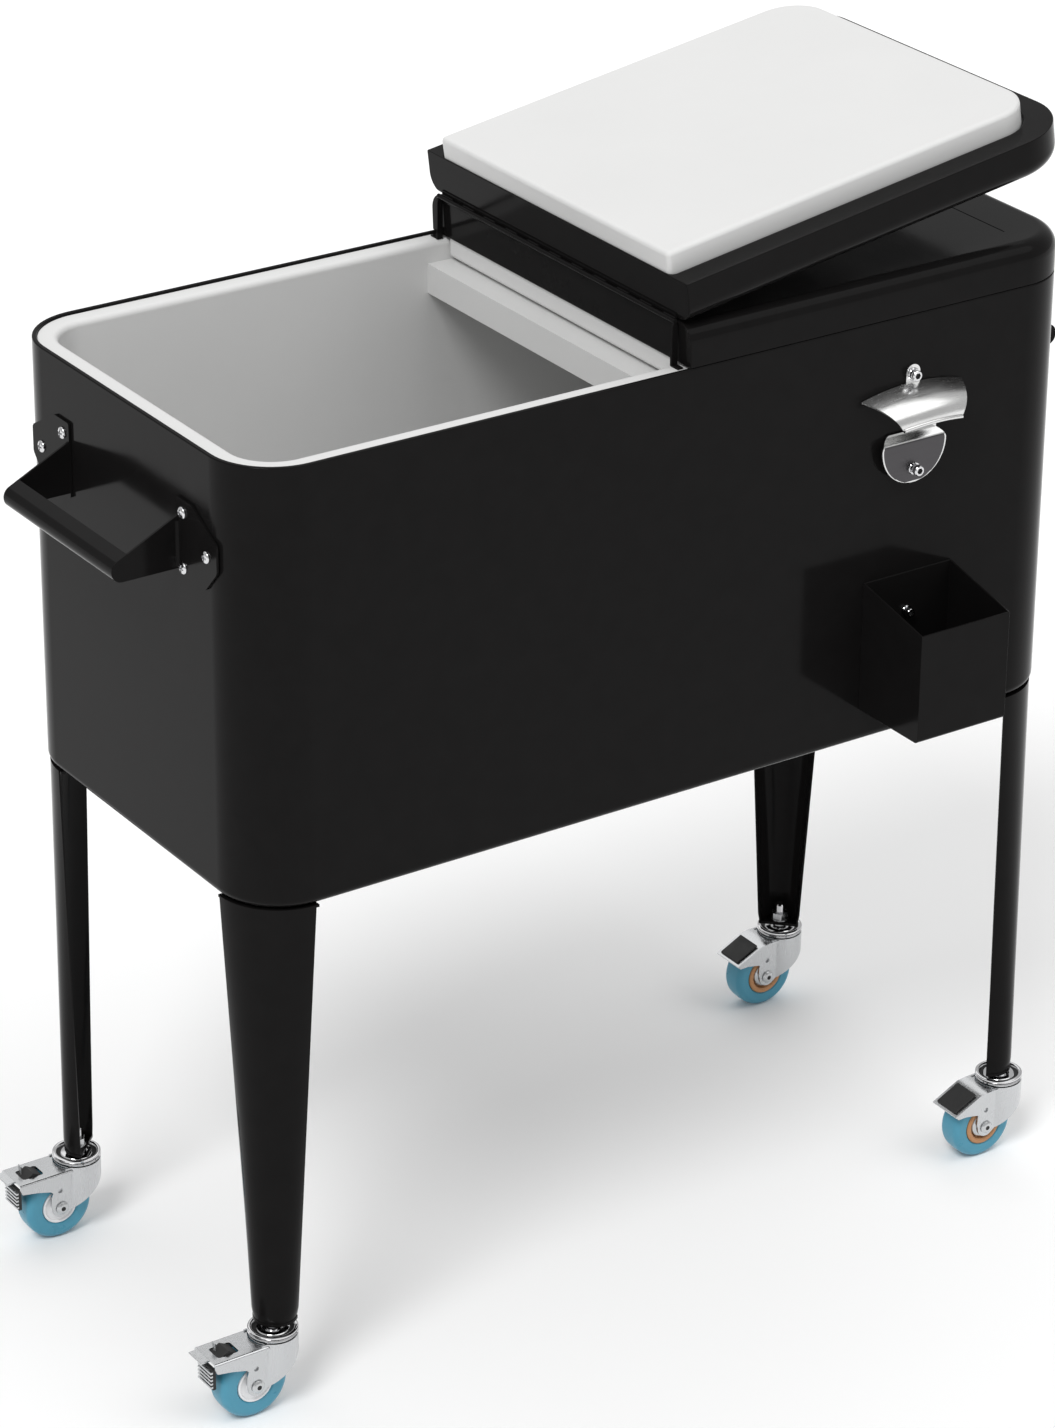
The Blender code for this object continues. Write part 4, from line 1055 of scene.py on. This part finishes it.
def build_stem(name, place, parts):
    """What a caster's stem carries, fixed to the leg, with two dark rings of painted shade: one in the
    groove inside the upper race, one in the gap between the races.
    """
    stem, nut, groove_shade, race_gap_shade = (moved(part, *place) for part in parts)
    piece(f"{name}_races", stem, "cooler", [CHROME], [f"{name}_caster_stem"])
    piece(f"{name}_stem_nut", nut, "cooler", [ZINC], bevel=0.4 * MM)
    piece(f"{name}_seal", groove_shade, "cooler", [PAINTED_SHADE])
    piece(f"{name}_track", race_gap_shade, "cooler", [PAINTED_SHADE])


def build_casters():
    # Painted shade: a thin dark disc in the groove inside the upper race, and a dark ring in the gap between
    # the two races.
    groove_shade = lathe(mm_points([(8.4, 72.5), (16.9, 72.2), (16.9, 71.9), (8.4, 71.9)]), 40)
    race_gap_shade = lathe(mm_points([(18.4, 71.0), (20.1, 71.0), (20.1, 72.4), (18.4, 72.4)]), 40)
    stem_parts = (stem_mesh(), stem_nut(), groove_shade, race_gap_shade)
    fork, axle = fork_mesh(), axle_mesh()
    # Painted shade: a dark bar whose ends stand just out of the axle bolt's ends, as dark dots for the shade
    # in their recesses.
    centre = rod(2.1 * MM, -18.1 * MM, 18.1 * MM, 20, "Y")
    tyres = {-1: tyre_mesh(16.7 * MM, 7 * MM), 1: tyre_mesh(18.4 * MM, 9 * MM)}
    white_hub, tan_hub, cover = hub_white_mesh(), hub_tan_mesh(), bearing_cover_mesh()
    pedals = {-1: long_pedal(), 1: short_pedal()}
    pad = slab([(-35.6, 67.3), (-58.0, 56.1), (-58.2, 54.2), (-35.3, 65.6)], -13, 13)
    back = slab([(-60.2, 58.5), (-63.4, 58.5), (-63.4, 39), (-60.2, 39)], -10.5, 10.5)
    ribs = [slab([(-62.6, z + 1.9), (-65.2, z + 1.7), (-65.2, z), (-62.6, z)], -10.5, 10.5)
            for z in (41, 44.4, 47.8, 51.2, 54.6)]
    clip = slab([(-38, 65.4), (-47, 70.0), (-55.8, 65.4), (-55.8, 61), (-38, 61)], -8.4, 6.9)
    tab = slab([(-54.6, 74.6), (-53.6, 75.2), (-50.8, 61), (-53.4, 61)], 0.5, 5)
    for name, sign_x, sign_y in CORNERS:
        place = caster_place(sign_x, sign_y)
        caster, wheel, brake = f"{name}_caster", f"{name}_wheel", f"{name}_brake"
        build_stem(name, place, stem_parts)
        piece(f"{name}_yoke", moved(fork, *place), caster, [ZINC], [f"{name}_fork"], bevel=0.3 * MM)
        at_axle = Matrix.Translation(place + Vector((AXLE_X, 0, AXLE_Z)))
        piece(f"{name}_axle_bolt", placed(axle, at_axle), caster, [ZINC], [f"{name}_axle"])
        piece(f"{name}_axle_end_shade", placed(centre, at_axle), caster, [PAINTED_SHADE])
        piece(f"{name}_tread", placed(tyres[sign_x], at_axle), wheel, [BLUE], [f"{name}_tyre"])
        piece(f"{name}_lever", moved(pedals[sign_x], *place), brake, [ZINC],
              [f"{name}_brake_pedal"], bevel=0.25 * MM)
        if sign_x < 0:
            hub, slot, finish = white_hub, "white_plastic", HUB_WHITE
            piece(f"{name}_pad", moved(back, *place), brake, [RUBBER], bevel=0.3 * MM)
            for k, rib in enumerate(ribs):
                piece(f"{name}_pad_rib_{k}", moved(rib, *place), brake, [ZINC])
            piece(f"{name}_clip", moved(clip, *place), brake, [RUBBER], bevel=0.3 * MM)
            piece(f"{name}_tab", moved(tab, *place), brake, [ZINC], bevel=0.25 * MM)
        else:
            hub, slot, finish = tan_hub, "tan_nylon", TAN
            piece(f"{name}_bearing_cover", placed(cover, at_axle), wheel, [ZINC])
            piece(f"{name}_pad", moved(pad, *place), brake, [RUBBER], bevel=0.4 * MM)
        piece(f"{name}_wheel_hub", placed(hub, at_axle), wheel, [finish], [f"{name}_hub"])


# ---- floor, light and camera ----


def build_stage():
    half = 30
    floor = prism([(-half, -half), (half, -half), (half, half), (-half, half)], -0.02, 0)
    obj = bpy.data.objects.new("floor", floor)
    bpy.context.scene.collection.objects.link(obj)
    matte = Finish("floor", (0.95, 0.95, 0.95), 0.9, specular=0.0)
    matte.bump(matte.noise(3, 2), 0.02, 0.001)
    floor.materials.append(matte.material)


def soft_sun(name, azimuth, elevation, strength, width):
    """A broad far-off light. Azimuth 0 stands behind the front, at -Y, and grows towards +X."""
    light = bpy.data.lights.new(name, "SUN")
    light.energy = strength
    light.angle = radians(width)
    obj = bpy.data.objects.new(name, light)
    a, e = radians(azimuth), radians(elevation)
    towards = Vector((sin(a) * cos(e), -cos(a) * cos(e), sin(e)))
    obj.rotation_euler = towards.to_track_quat("Z", "Y").to_euler()
    bpy.context.scene.collection.objects.link(obj)


def build_lights():
    world = bpy.data.worlds.new("studio")
    world.use_nodes = True
    background = world.node_tree.nodes["Background"]
    background.inputs["Color"].default_value = (1, 1, 1, 1)
    background.inputs["Strength"].default_value = 0.55
    bpy.context.scene.world = world
    soft_sun("key", -58, 52, 1.4, 22)
    soft_sun("fill", 40, 58, 0.65, 50)
    soft_sun("back", 165, 60, 0.5, 60)
    bpy.context.scene.view_settings.view_transform = "Standard"


def build_camera():
    """A long lens from the front left, a little above the lids, with a slight roll."""
    azimuth, elevation, roll = radians(-33.94), radians(25.92), radians(0.45)
    target, distance = Vector((-0.02144, 0, RIM_Z - 0.36896)), 4.1096
    back = Vector((sin(azimuth) * cos(elevation), -cos(azimuth) * cos(elevation), sin(elevation)))
    right = (-back).cross(Vector((0, 0, 1))).normalized()
    up = right.cross(-back)
    tilted_right = right * cos(roll) + up * sin(roll)
    tilted_up = up * cos(roll) - right * sin(roll)
    camera = bpy.data.cameras.new("camera")
    camera.sensor_width = 36
    camera.lens = 123.2
    obj = bpy.data.objects.new("camera", camera)
    turn = Matrix((tilted_right, tilted_up, back)).transposed().to_4x4()
    obj.matrix_world = Matrix.Translation(target + back * distance) @ turn
    bpy.context.scene.collection.objects.link(obj)
    bpy.context.scene.camera = obj


finish_cad_nodes()
build_tub()
build_lids()
build_hinge()
build_legs()
build_handles()
build_opener()
build_catcher()
build_casters()
build_stage()
build_lights()
build_camera()
